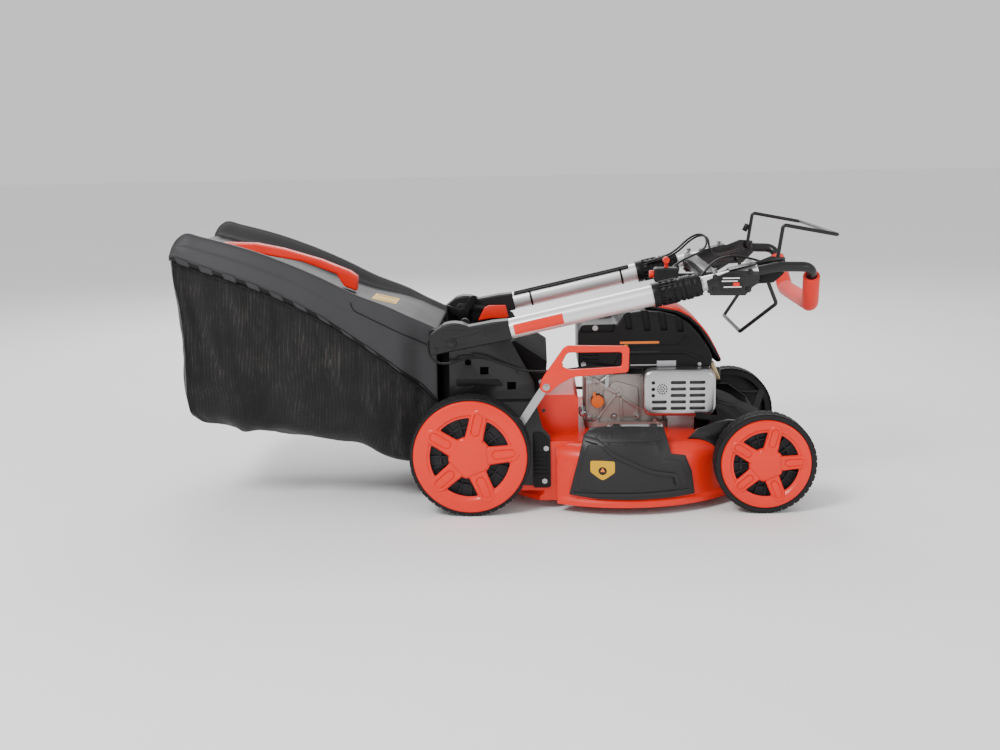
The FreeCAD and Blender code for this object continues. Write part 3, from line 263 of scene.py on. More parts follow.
def make_mesh_fabric():
    """Open mesh cloth: upright and level threads, with worn brownish streaks down it."""
    material, tree, shader = nodes_of("bag_fabric")

    def wave(value, pitch):
        return math_node(tree, "SINE", math_node(tree, "MULTIPLY", value, 2 * math.pi / pitch))

    place = object_place(tree)
    split = add_node(tree, "ShaderNodeSeparateXYZ", Vector=place)
    level = math_node(tree, "ADD", split.outputs["X"], split.outputs["Y"])
    weave = math_node(tree, "MAXIMUM", wave(level, WEAVE_PITCH), wave(split.outputs["Z"], WEAVE_PITCH))
    streaks = noise_field(tree, object_place(tree, (1, 1, 0.16)), 160.0, 6.0, 0.7)
    worn = math_node(tree, "MULTIPLY", streaks, noise_field(tree, place, 14.0, 4.0))
    stripes = math_node(tree, "MAXIMUM", wave(level, STRIPE_PITCH), 0.0)
    base = colours().fabric
    tint = ramp(tree, math_node(tree, "MULTIPLY_ADD", stripes, 0.12, worn),
                [(0.18, shade(base, 0.6)), (0.34, shade(base, 1.5)), (0.50, (0.036, 0.030, 0.027))])
    tree.links.new(tint, shader.inputs["Base Color"])
    shader.inputs["Roughness"].default_value = 0.82
    shader.inputs["Sheen Weight"].default_value = 0.15
    shader.inputs["Specular IOR Level"].default_value = 0.3
    relief(tree, shader, weave, 0.7, 0.0006)
    MATERIALS["bag_fabric"] = material


def make_materials():
    c = colours()
    make_finish("red_paint", c.red_paint, 0.33, coat=0.12, grain=500, strength=0.05, vary=0.06)
    make_finish("red_plastic", c.red_plastic, 0.36, coat=0.15, grain=1400, strength=0.12, vary=0.06)
    make_finish("black_steel", c.black_plastic, 0.34, coat=0.2, grain=1500, strength=0.25)
    make_finish("black_plastic", c.black_plastic, 0.40, grain=1800, strength=0.35, vary=0.2, shine=0.2)
    make_finish("matt_plastic", c.black_plastic, 0.72, grain=1300, depth=0.0002, strength=0.4, vary=0.2,
                shine=0.12)
    make_finish("door_plastic", (0.017, 0.017, 0.018), 0.42, grain=1500, depth=0.0002, strength=0.4,
                vary=0.15)
    make_finish("grey_plastic", c.grey_plastic, 0.4, grain=1600, strength=0.3)
    make_finish("dark_cover", c.bag_cover, 0.5, grain=1300, strength=0.35, vary=0.1, shine=0.22)
    make_finish("tyre_black", (0.009, 0.009, 0.010), 0.66, grain=900, strength=0.4, vary=0.25)
    make_finish("wheel_grey", (0.022, 0.022, 0.025), 0.55, grain=1200, strength=0.3)
    make_finish("zinc_steel", (0.42, 0.42, 0.43), 0.3, metal=1.0, grain=1100, strength=0.12,
                stretch=(1, 1, 3))
    make_finish("guard_steel", (0.50, 0.50, 0.51), 0.30, metal=1.0, grain=600, strength=0.06)
    make_finish("cast_alloy", (0.40, 0.37, 0.345), 0.48, metal=0.75, grain=700, depth=0.0003,
                strength=0.55, vary=0.2)
    make_finish("tube_alloy", c.tube, 0.34, metal=0.55, grain=1500, strength=0.08, vary=0.05,
                stretch=(0.15, 1, 1))
    make_finish("blade_steel", (0.20, 0.20, 0.21), 0.42, metal=1.0, grain=500, strength=0.2)
    make_finish("iron", (0.16, 0.16, 0.16), 0.55, metal=0.9, grain=600, strength=0.4)
    make_finish("foam_red", (0.76, 0.018, 0.006), 0.72, grain=2600, depth=0.0004, strength=0.6, vary=0.1,
                sheen=0.2)
    make_finish("orange_plastic", (0.70, 0.13, 0.006), 0.35, coat=0.2, vary=0.05)
    make_finish("cable_black", (0.010, 0.010, 0.010), 0.38, grain=1500, strength=0.15)
    make_finish("brass", (0.55, 0.43, 0.25), 0.38, metal=0.8, strength=0.2)
    for name, colour, rough in (("yellow", c.label_yellow, 0.4), ("orange", (0.85, 0.20, 0.02), 0.4),
                                ("white", (0.75, 0.75, 0.73), 0.4), ("black", (0.008, 0.008, 0.008), 0.3)):
        make_finish("label_" + name, colour, rough, strength=0.05, vary=0.05)
    make_mesh_fabric()


# ---- outlines ----
def soft_corners(points, radius, count=5):
    """Outline with each corner rounded, in the outline's own units."""
    result = []
    total = len(points)
    for i, (x, z) in enumerate(points):
        p = Vector((x, z))
        before = Vector(points[i - 1]) - p
        after = Vector(points[(i + 1) % total]) - p
        reach = min(radius, before.length * 0.45, after.length * 0.45)
        a = p + before.normalized() * reach
        b = p + after.normalized() * reach
        for step in range(count):
            t = step / (count - 1)
            q = a * (1 - t) ** 2 + p * (2 * t * (1 - t)) + b * t ** 2
            result.append((q.x, q.y))
    return result


def rectangle(x0, z0, x1, z1):
    return [(x0, z0), (x1, z0), (x1, z1), (x0, z1)]


def circle_points(x, z, radius, count, start=0.0):
    return [(x + radius * math.cos(start + 2 * math.pi * i / count),
             z + radius * math.sin(start + 2 * math.pi * i / count)) for i in range(count)]


def spoke_point(x, z, turn, u, v):
    """Place u outwards along a spoke and v across it."""
    c, s = math.cos(turn), math.sin(turn)
    return (x + u * c - v * s, z + u * s + v * c)


def moved(points, x, z):
    return [(x + u, z + v) for u, v in points]


def scaled(outline, x, z, factor):
    return [(x + (px - x) * factor, z + (pz - z) * factor) for px, pz in outline]


# ---- modelling helpers ----
def deselect():
    if bpy.context.object and bpy.context.object.mode != "OBJECT":
        bpy.ops.object.mode_set(mode="OBJECT")
    bpy.ops.object.select_all(action="DESELECT")


def pick(obj):
    deselect()
    obj.select_set(True)
    bpy.context.view_layer.objects.active = obj
    return obj


def named(name):
    """The active object, with its name and its mesh's name set."""
    obj = bpy.context.object
    obj.name = name
    obj.data.name = name
    return obj


def settled(name):
    """Names the new primitive and puts its place into its mesh."""
    obj = named(name)
    bpy.ops.object.transform_apply(location=True, rotation=True, scale=True)
    return obj


def block(name, low, high):
    """Box between two corners in drawing millimetres."""
    a, b = at(*low), at(*high)
    deselect()
    bpy.ops.mesh.primitive_cube_add(size=1, location=(a + b) / 2)
    bpy.context.object.scale = [abs(q - p) for p, q in zip(a, b)]
    return settled(name)


def drum(name, start, end, radius, sides=32):
    """Round bar between two points in drawing millimetres."""
    a, b = at(*start), at(*end)
    deselect()
    bpy.ops.mesh.primitive_cylinder_add(vertices=sides, radius=radius * MM, depth=(b - a).length,
                                        location=(a + b) / 2,
                                        rotation=(b - a).to_track_quat("Z", "Y").to_euler())
    return settled(name)


def drum_y(name, place, y0, y1, radius, sides=32):
    """Round bar along Y at an x and z place."""
    x, z = place
    return drum(name, (x, y0, z), (x, y1, z), radius, sides)


def outward(obj):
    """Merges doubled corners and turns the faces outwards."""
    if obj.mode == "OBJECT":
        pick(obj)
        bpy.ops.object.mode_set(mode="EDIT")
    bpy.ops.mesh.select_all(action="SELECT")
    bpy.ops.mesh.remove_doubles(threshold=0.00001)
    bpy.ops.mesh.normals_make_consistent(inside=False)
    bpy.ops.object.mode_set(mode="OBJECT")
    return obj


def from_faces(name, points, faces):
    mesh = bpy.data.meshes.new(name)
    mesh.from_pydata([tuple(p) for p in points], [], faces)
    mesh.validate()
    obj = bpy.data.objects.new(name, mesh)
    bpy.context.scene.collection.objects.link(obj)
    return outward(obj)


def traced(name, points, fill="NOTHING"):
    """Circle whose corners are moved to an outline's points, left in edit mode."""
    deselect()
    bpy.ops.mesh.primitive_circle_add(vertices=len(points), radius=0.05, fill_type=fill)
    obj = named(name)
    for vertex, point in zip(obj.data.vertices, points):
        vertex.co = point
    bpy.ops.object.mode_set(mode="EDIT")
    bpy.ops.mesh.select_all(action="SELECT")
    return obj


def prism(name, outline, y0, y1):
    """Plate of an outline in x and z, between two y places, in drawing millimetres."""
    obj = traced(name, [at(x, y0, z) for x, z in outline], "NGON")
    bpy.ops.mesh.extrude_region_move(TRANSFORM_OT_translate={"value": (0, (y1 - y0) * MM, 0)})
    return outward(obj)


def plate(name, points, corner, y0, y1, count=5):
    """Prism of an outline with rounded corners."""
    return prism(name, soft_corners(points, corner, count), y0, y1)


def spun(name, points, centre, axis, steps):
    """Closed ring section turned once about an axis."""
    obj = traced(name, points)
    bpy.ops.mesh.spin(steps=steps, angle=2 * math.pi, center=centre, axis=axis)
    return outward(obj)


def turned_y(name, profile, x, z, steps=120):
    """Closed ring section of (radius, y) turned about a line along Y."""
    return spun(name, [at(x + r, y, z) for r, y in profile], at(x, 0, z), (0, 1, 0), steps)


def lofted(name, rows):
    """Grid whose points are moved to rows of places in drawing millimetres."""
    deselect()
    bpy.ops.mesh.primitive_grid_add(x_subdivisions=len(rows[0]) - 1, y_subdivisions=len(rows) - 1, size=1)
    obj = named(name)
    for vertex, place in zip(obj.data.vertices, [at(*point) for row in rows for point in row]):
        vertex.co = place
    return outward(obj)


def face_outside(sheet, side):
    """Turns an open sheet's faces over if most of them look the wrong way."""
    if sum(side(face) * face.area for face in sheet.data.polygons) < 0:
        sheet.data.flip_normals()


def apply_modifier(obj, kind, **settings):
    pick(obj)
    modifier = obj.modifiers.new(kind.lower(), kind)
    for key, value in settings.items():
        setattr(modifier, key, value)
    bpy.ops.object.modifier_apply(modifier=modifier.name)
    return obj


def round_edges(obj, width, segments=3, angle=30, clamp=True):
    return apply_modifier(obj, "BEVEL", width=width * MM, segments=segments, limit_method="ANGLE",
                          angle_limit=math.radians(angle), use_clamp_overlap=clamp)


def carve(obj, *cutters, operation="DIFFERENCE"):
    """Boolean with one or more cutters, which are used up."""
    for cutter in cutters:
        apply_modifier(obj, "BOOLEAN", object=cutter, operation=operation, solver="EXACT")
        bpy.data.objects.remove(cutter)
    return obj


def joined(name, pieces):
    deselect()
    for piece in pieces:
        piece.select_set(True)
    bpy.context.view_layer.objects.active = pieces[0]
    if len(pieces) > 1:
        bpy.ops.object.join()
    return named(name)


def other_side(obj, name):
    """Copy on the mower's other side."""
    copy = obj.copy()
    copy.data = obj.data.copy()
    copy.name = name
    copy.data.transform(Matrix.Scale(-1, 4, (0, 1, 0)))
    copy.data.flip_normals()
    bpy.context.scene.collection.objects.link(copy)
    return copy


def both_sides(pieces):
    """The pieces and their copies on the mower's other side."""
    return pieces + [other_side(piece, piece.name + "_left") for piece in pieces]


def smooth_line(name, route, radius, sides=6):
    """Round cable along one smooth spline, as a mesh."""
    data = bpy.data.curves.new(name, "CURVE")
    data.dimensions = "3D"
    data.bevel_depth = radius
    data.bevel_resolution = sides // 2
    data.use_fill_caps = True
    spline = data.splines.new("NURBS")
    spline.points.add(len(route) - 1)
    for point, place in zip(spline.points, route):
        point.co = (*at(*place), 1)
    spline.order_u = 3
    spline.use_endpoint_u = True
    spline.resolution_u = 8
    curve = bpy.data.objects.new(name, data)
    bpy.context.scene.collection.objects.link(curve)
    pick(curve)
    bpy.ops.object.convert(target="MESH")
    return bpy.context.object


def hex_bolt(x, y, z, radius):
    """Washer and six-sided head that stand on a seat towards the mower's right."""
    washer = drum_y("washer", (x, z), y, y - 1.4, radius * 1.35, 28)
    head = drum_y("head", (x, z), y - 1.4, y - 1.4 - radius * 0.75, radius, 6)
    return joined("bolt", [washer, round_edges(head, 0.7, 2, 20)])


def finish(name, pieces, body, slot, material=None, nodes=(), angle=35):
    """Joins the pieces of one visible piece, shades it, and says where it belongs.

    A piece that bends between two bodies has no body of its own.
    """
    obj = pick(joined(name, pieces))
    bpy.ops.object.shade_smooth_by_angle(angle=math.radians(angle))
    obj.data.materials.clear()
    obj.data.materials.append(MATERIALS[material or slot])
    if body:
        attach(obj, body)
    if nodes:
        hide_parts(*nodes)
    return obj


def softened(node, width, material=None, segments=2, angle=30):
    """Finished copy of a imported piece, with its hard edges broken where a width is given."""
    obj = bpy.data.objects.new(node + "_finished", frame["nodes"][node].data.copy())
    bpy.context.scene.collection.objects.link(obj)
    pick(obj)
    bpy.ops.object.mode_set(mode="EDIT")
    bpy.ops.mesh.select_all(action="SELECT")
    bpy.ops.mesh.remove_doubles(threshold=0.00002)
    bpy.ops.mesh.dissolve_limited(angle_limit=math.radians(0.5))
    bpy.ops.object.mode_set(mode="OBJECT")
    if width:
        round_edges(obj, width, segments, angle, clamp=False)
    return finish(node + "_finished", [obj], BODY[node], SLOT[node], material, (node,))


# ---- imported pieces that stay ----
class MOWER_OT_packed_finishes(bpy.types.Operator):
    """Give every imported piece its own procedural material"""
    bl_idname = "mower.packed_finishes"
    bl_label = "Packed piece finishes"

    def execute(self, context):
        make_materials()
        special = {"muffler_guard": "guard_steel", "muffler": "iron", "cylinder": "iron",
                   "front_crank": "black_steel", "height_link_rod": "black_steel"}
        for node, obj in frame["nodes"].items():
            for slot in obj.material_slots:
                slot.material = MATERIALS[special.get(node, SLOT[node])]
        return {"FINISHED"}


# ---- wheels ----
def tread(x, z, radius, inner, outer):
    """Two rows of slanted lugs round a tyre."""
    count = sizes().tread_lugs
    points, faces = [], []
    for index in range(count * 2):
        turn = math.pi * (index + 0.5) / count
        side = 1 if index % 2 else -1
        edge = outer if side > 0 else inner
        near_y = (inner + outer) / 2 - side * 2
        half = 0.62 * math.pi / count
        lean = side * 0.012
        start = len(points)
        for r, grow, inset in ((radius - 3, 1.5, 0.5), (radius - 0.2, 1.25, 2.5)):
            for y, shift in ((near_y, -lean), (edge - side * inset, lean)):
                for direction in (-1, 1):
                    angle = turn + shift + direction * half * grow
                    points.append(at(x + r * math.cos(angle), y, z + r * math.sin(angle)))
        faces += [tuple(start + i for i in face) for face in
                  ((0, 1, 3, 2), (4, 6, 7, 5), (0, 4, 5, 1), (1, 5, 7, 3), (3, 7, 6, 2), (2, 6, 4, 0))]
    return from_faces("tread", points, faces)


def spoke_outline(x, z, turn, length_in, length_out, wide, narrow, count=10):
    """Bar pointing outwards, with round ends."""
    points = []
    for centre, half, start in ((length_out - narrow, narrow, -90), (length_in + wide, wide, 90)):
        for i in range(count):
            a = math.radians(start + 180 * i / (count - 1))
            points.append(spoke_point(x, z, turn, centre + half * math.cos(a), half * math.sin(a)))
    return points


def stepped_pad(name, rows):
    """Pad of outlines with equal point counts, each at its own y, closed at both ends."""
    count = len(rows[0][0])
    points = [at(x, y, z) for outline, y in rows for x, z in outline]
    faces = [tuple(reversed(range(count))), tuple((len(rows) - 1) * count + i for i in range(count))]
    for row in range(len(rows) - 1):
        for i in range(count):
            j = (i + 1) % count
            faces.append((row * count + i, row * count + j, (row + 1) * count + j, (row + 1) * count + i))
    return from_faces(name, points, faces)


def wheel_cover(x, z, radius, face, seat, slot_in, slot_out, phase):
    """Red cover of a right-hand wheel: five openings, five sunk spokes and a raised hub."""
    body = turned_y("cover", [(0.5, face + 2.5), (0.5, face), (slot_out + 3, face),
                              (slot_out + 7, face - 3), (radius - 5, face - 3.4), (radius - 1.5, face - 2),
                              (radius, face + 1), (radius, seat), (radius - 4, seat),
                              (radius - 5, face + 2.5)], x, z, 144)
    cutters, pads = [], []
    for index in range(5):
        axis = phase + math.radians(72 * index + 36)
        ends = []
        for r, half_bar, steps in ((slot_in, slot_in * 0.42, 4), (slot_out, slot_in * 0.40, 9)):
            reach = math.radians(36) - math.asin(half_bar / r)
            turns = [axis + reach * (2 * i / (steps - 1) - 1) for i in range(steps)]
            ends.append([(x + r * math.cos(turn), z + r * math.sin(turn)) for turn in turns])
        cutters.append(plate("opening", ends[0] + ends[1][::-1], slot_in * 0.13, face - 12, seat + 12, 4))
    round_edges(carve(body, joined("openings", cutters)), 0.9, 2, 40)
    for index in range(5):
        def bar(*shares):
            start, end, wide, narrow = shares
            return spoke_outline(x, z, phase + math.radians(72 * index), slot_in * start,
                                 slot_out + slot_in * end, slot_in * wide, slot_in * narrow)

        rim, crown = bar(0.5, 0.46, 0.43, 0.36), bar(0.5, 0.38, 0.37, 0.30)
        groove = [bar(1.0 + t, 0.27 - t, 0.24 - t, 0.24 - t) for t in (0, 0.025, 0.055, 0.075)]
        pads.append(stepped_pad("spoke", [(rim, face + 1), (rim, face - 2.6), (crown, face - 5),
                                          (groove[0], face - 5), (groove[1], face - 2.4),
                                          (groove[2], face - 2.4), (groove[3], face - 4.4)]))
    hub = soft_corners(circle_points(x, z, slot_in * 1.04, 5, phase + math.radians(36)), slot_in * 0.16, 6)
    pads.append(stepped_pad("hub", [(hub, face + 1), (hub, face - 4.6), (scaled(hub, x, z, 0.90), face - 7.6),
                                    (scaled(hub, x, z, 0.72), face - 8.0)]))
    return joined("cover", [body] + [round_edges(pad, 0.5, 2, 30) for pad in pads])


def ribbed_disc(x, z, inner, outer, front, back):
    """Dark wheel disc with radial ribs, seen through the cover's openings."""
    disc = turned_y("disc", [(inner, back), (inner, back - 3), (outer, back - 3), (outer, back)], x, z, 96)
    section = ((inner, -1), (outer, -1.4), (outer, 1.4), (inner, 1))
    ribs = [prism("rib", [spoke_point(x, z, math.radians(18 * index), u, v) for u, v in section],
                  back - 2, front) for index in range(20)]
    rings = [turned_y("ring", [(r, back), (r, front), (r + 2.5, front), (r + 2.5, back)], x, z, 72)
             for r in ((inner + outer) / 2, outer - 4)]
    return joined("disc", [disc] + ribs + rings)


class MOWER_OT_wheels(bpy.types.Operator):
    """Make four wheels with treaded tyres, ribbed discs and five-spoke covers"""
    bl_idname = "mower.wheels"
    bl_label = "Wheels"

    def execute(self, context):
        s = sizes()
        places = (("rear", 5.5, 5, s.rear_slot_in, s.rear_slot_out),
                  ("front", 4.5, 4, s.front_slot_in, s.front_slot_out))
        for place, side_wall, phase, slot_in, slot_out in places:
            low, high = box_mm("wheel_%s_right" % place)
            x, z = (low[0] + high[0]) / 2, (low[2] + high[2]) / 2
            radius = (high[2] - low[2]) / 2
            outer, inner = low[1], high[1]
            cover_low, cover_high = box_mm("wheel_cover_%s_right" % place)
            cap = (cover_high[2] - cover_low[2]) / 2
            rim = radius - 17
            shell = turned_y("tyre", [(rim, outer + 6), (cap + 0.6, outer + 6), (cap + 0.6, outer + 0.6),
                                      (cap + 2.5, outer), (radius - 2.6, outer + 0.6),
                                      (radius - 1.2, outer + side_wall), (radius - 1.2, (outer + inner) / 2),
                                      (radius - 1.4, inner - side_wall), (radius - 5, inner - 2),
                                      (rim, inner - 2)], x, z, 144)
            tyre = joined("tyre", [shell, tread(x, z, radius, inner - 1.5, outer + 2.5)])
            disc = ribbed_disc(x, z, 12, rim + 0.5, outer + 9, outer + 18)
            cover = wheel_cover(x, z, cap, outer - 1.5, outer + 6, slot_in / MM, slot_out / MM,
                                math.radians(phase))
            pieces = [tyre, disc, cover]
            for side in ("right", "left"):
                if side == "left":
                    pieces = [other_side(piece, "left") for piece in pieces]
                end = "_%s_%s" % (place, side)
                body = "wheel" + end
                finish("tyre" + end, [pieces[0]], body, "tyre_black", nodes=(body,), angle=30)
                finish("disc" + end, [pieces[1]], body, "tyre_black", "wheel_grey", angle=30)
                finish("cover" + end, [pieces[2]], body, "red_plastic", nodes=("wheel_cover" + end,),
                       angle=32)
        return {"FINISHED"}


# ---- deck and frame ----
class MOWER_OT_frame_plates(bpy.types.Operator):
    """Soften the frame plates and brackets, and add their ribbed housings and bolts"""
    bl_idname = "mower.frame_plates"
    bl_label = "Frame plates"

    def execute(self, context):
        softened("side_frames", 0.7)
        softened("front_brackets", 1.0)
        for node, width in (("discharge_chute", 0.8), ("rear_door", 1.0), ("nose_cover", 0.0)):
            softened(node, width, "matt_plastic")
        edge = box_mm("side_frames")[0][1]
        housing = plate("housing", [(131, 47), (166, 47), (166, 152), (150, 168), (131, 168)], 5,
                        edge - 2.6, edge + 1)
        ribs = [plate("rib", rectangle(133, z, 164, z + 4), 1.5, edge - 4.6, edge - 2)
                for z in range(74, 122, 9)]
        upper = plate("upper_rib", [(-30, 262), (70, 262), (60, 276), (-30, 276)], 4,
                      FRAME_FACE - 2.4, FRAME_FACE)
        housings = joined("side_housings", both_sides([housing, upper] + ribs))
        finish("side_housings", [round_edges(housings, 0.6, 2)], "chassis", "black_plastic")
        screws = [hex_bolt(x, edge, z, 2.8) for x, z in ((154, 214), (125, 197))]
        screws += [hex_bolt(x, FRAME_FACE, z, 3) for x, z in ((5, 261), (84, 318), (100, 290))]
        finish("frame_screws", both_sides(screws), "chassis", "black_steel")
        return {"FINISHED"}


class MOWER_OT_side_door(bpy.types.Operator):
    """Make the side discharge door with its raised panel, its coil spring and its plain label"""
    bl_idname = "mower.side_door"
    bl_label = "Side discharge door"

    def skin(self, name, outline, corner, lift, thick):
        """Piece of a curved skin that follows the door, standing a little out of it."""
        rim = DECK_RIM
        outer = [(rim - 45, 177 + lift), (rim - 28, 174 + lift), (rim - 10 + lift, 150),
                 (rim - 2 + lift, 110), (rim + lift, 36)]
        section = outer + [(r - thick, z - thick * 0.4) for r, z in reversed(outer)]
        shell = spun(name, [at(SHAFT_X + r, 0, z) for r, z in section], at(SHAFT_X, 0, 0), (0, 0, 1), 240)
        outline = moved(outline, SHAFT_X, 0)
        cutter = prism("cutter", soft_corners(outline, corner) if corner else outline, -rim - 30, -180)
        return carve(shell, cutter, operation="INTERSECT")

    def execute(self, context):
        softened("side_door", 0.6, "door_plastic", angle=40)
        panel = [(-84, 150), (-92, 128), (-106, 58), (-60, 52), (96, 54), (124, 62), (119, 90), (108, 112),
                 (70, 118), (58, 150)]
        ledge = [(-88, 161), (-90, 155), (66, 155), (70, 161)]
        skirt = [(-116, 47), (-114, 41), (130, 45), (130, 51)]
        ridge = [(-93, 166), (-62, 160), (-28, 133), (47, 98), (100, 87), (106, 62), (100, 60), (94, 81),
                 (44, 92), (-32, 127), (-64, 153), (-92, 158)]
        pieces = [round_edges(self.skin("panel", panel, 9, 2.6, 4.0), 1.2, 2, 40),
                  self.skin("ledge", ledge, 3, 2.0, 3.4), self.skin("skirt", skirt, 2, 2.4, 3.8),
                  round_edges(self.skin("ridge", ridge, 3, 7.0, 6.0), 1.2, 2, 40)]
        finish("door_panel", pieces, "side_door", "black_plastic", "door_plastic")
        x, z = -54, 98
        shield = [(-25, 19), (0, 20), (25, 19), (25, -4), (10, -15), (0, -21), (-10, -15), (-25, -4)]
        arrow = [(-5, -3), (5, -3), (0, 6)]
        for name, outline, corner, lift, colour in (
                ("door_label", moved(shield, x, z), 4, 3.0, "label_yellow"),
                ("door_label_mark", circle_points(x, z - 1, 8.5, 24), 0, 3.3, "label_black"),
                ("door_label_arrow", moved(arrow, x, z), 0, 3.6, "label_orange")):
            finish(name, [self.skin(name, outline, corner, lift, 1.2)], "side_door", "black_plastic", colour)
        x = SHAFT_X
        y, z = DOOR_HINGE
        turns, steps, wire, coil_r = 13, 14, 0.0009, 5.2
        route = [(x - 12 + 56 * i / (turns * steps), y + coil_r * math.cos(2 * math.pi * i / steps),
                  z + coil_r * math.sin(2 * math.pi * i / steps)) for i in range(turns * steps + 1)]
        legs = ([(x - 12, y, z + 5), (x - 13, y - 2, z + 9), (x - 14, y - 9, z + 8)],
                [(x + 44, y + 5, z), (x + 45, y + 9, z + 2), (x + 45, y + 14, z + 3)])
        finish("door_spring", [smooth_line("wire", line, wire, 4) for line in (route, *legs)],
               "chassis", "zinc_steel")
        return {"FINISHED"}


# ---- engine ----
class MOWER_OT_engine_covers(bpy.types.Operator):
    """Make the engine shroud with its cooling slots, its red top cover and its plain labels"""
    bl_idname = "mower.engine_covers"
    bl_label = "Engine covers"

    def execute(self, context):
        x = SHAFT_X
        side = box_mm("engine_shroud")[0][1]

        def panel(name, points, corner, out, into, count=5):
            """Plate of places from the engine's shaft, standing out of the shroud's side and into it."""
            return plate(name, moved(points, x, 0), corner, side - out, side + into, count)

        profile = [(-97, 277), (-97, 362), (-88, 375), (-14, 376), (4, 400), (40, 405), (80, 401),
                   (115, 392), (142, 375), (165, 350), (183, 324), (193, 302), (190, 281)]
        body = round_edges(panel("shroud", profile, 6, 0, -2 * side, 4), 7, 5, 40)
        cuts = [panel("slot", [(u, 412), (u + 16, 412), (u + 24, foot), (u + 9, foot)], 5, 5, 10)
                for u, foot in ((-3, 364), (36, 361), (72, 361), (107, 358))]
        cuts.append(panel("ledge", [(-92, 380), (-92, 360), (-20, 359), (-16, 380)], 3, 5, 9))
        cuts += [panel("vent", rectangle(-88, z, -52, z - 4), 1.5, 5, 3) for z in (322, 313, 304)]
        carve(body, joined("cuts", cuts))
        carve(body, block("hollow", (x - 93, side + 14, 200), (x + 184, -side - 14, 290)))
        band = [(-24, 283), (-8, 311), (132, 311), (178, 286), (172, 279), (-20, 279)]
        upper = [(2, 318), (138, 318), (176, 298), (172, 306), (150, 340), (134, 352), (118, 332), (8, 332)]
        finish("engine_shroud_finished", [body, round_edges(panel("band", band, 6, 3, 2), 1.5, 3),
                                          round_edges(panel("fairing", upper, 5, 1.6, 2), 1.2, 2)],
               "chassis", "black_plastic", nodes=("engine_shroud",), angle=38)
        back = [(165, 363), (187, 329), (200, 306), (214, 287)]
        inside = [(206, 286), (188, 300), (178, 322), (160, 348), (138, 373), (112, 388), (50, 400)]
        under = moved([(50, 408), (115, 396), (142, 383)] + back + inside, x, 0)
        border = moved([(50, 413), (122, 399), (148, 386), (170, 365), (190, 338), (203, 315), (216, 289)]
                       + inside, x, 0)
        rims = [prism("rim", under, -75, 75)]
        for start in (-88, -81.5):
            rims += both_sides([round_edges(prism("rim", border, start, start + 5), 1.4, 2, 40)])
        rims += both_sides([prism("rim", under, -88, -74)])
        finish("top_cover_border", rims, "chassis", "black_plastic")
        softened("engine_top_cover", 2.0, segments=3, angle=35)
        for name, colour, corners, lift in (("shroud_label", "black", (-9, 314, 79, 340), 0.9),
                                            ("shroud_label_head", "orange", (-7, 334, 77, 339), 1.3),
                                            ("shroud_label_mark", "yellow", (2, 323, 12, 332), 1.3),
                                            ("shroud_label_bar", "white", (18, 326, 72, 329), 1.3),
                                            ("shroud_label_line", "white", (18, 319, 66, 322), 1.3)):
            finish(name, [panel(name, rectangle(*corners), 1.2, lift, 0.1)], "chassis", "black_plastic",
                   "label_" + colour)
        finish("shroud_bolts", [hex_bolt(x - 60, side + 9, 368, 4.5), hex_bolt(x - 86, side, 290, 4),
                                hex_bolt(x + 164, side - 3, 288, 3)], "chassis", "zinc_steel")
        return {"FINISHED"}


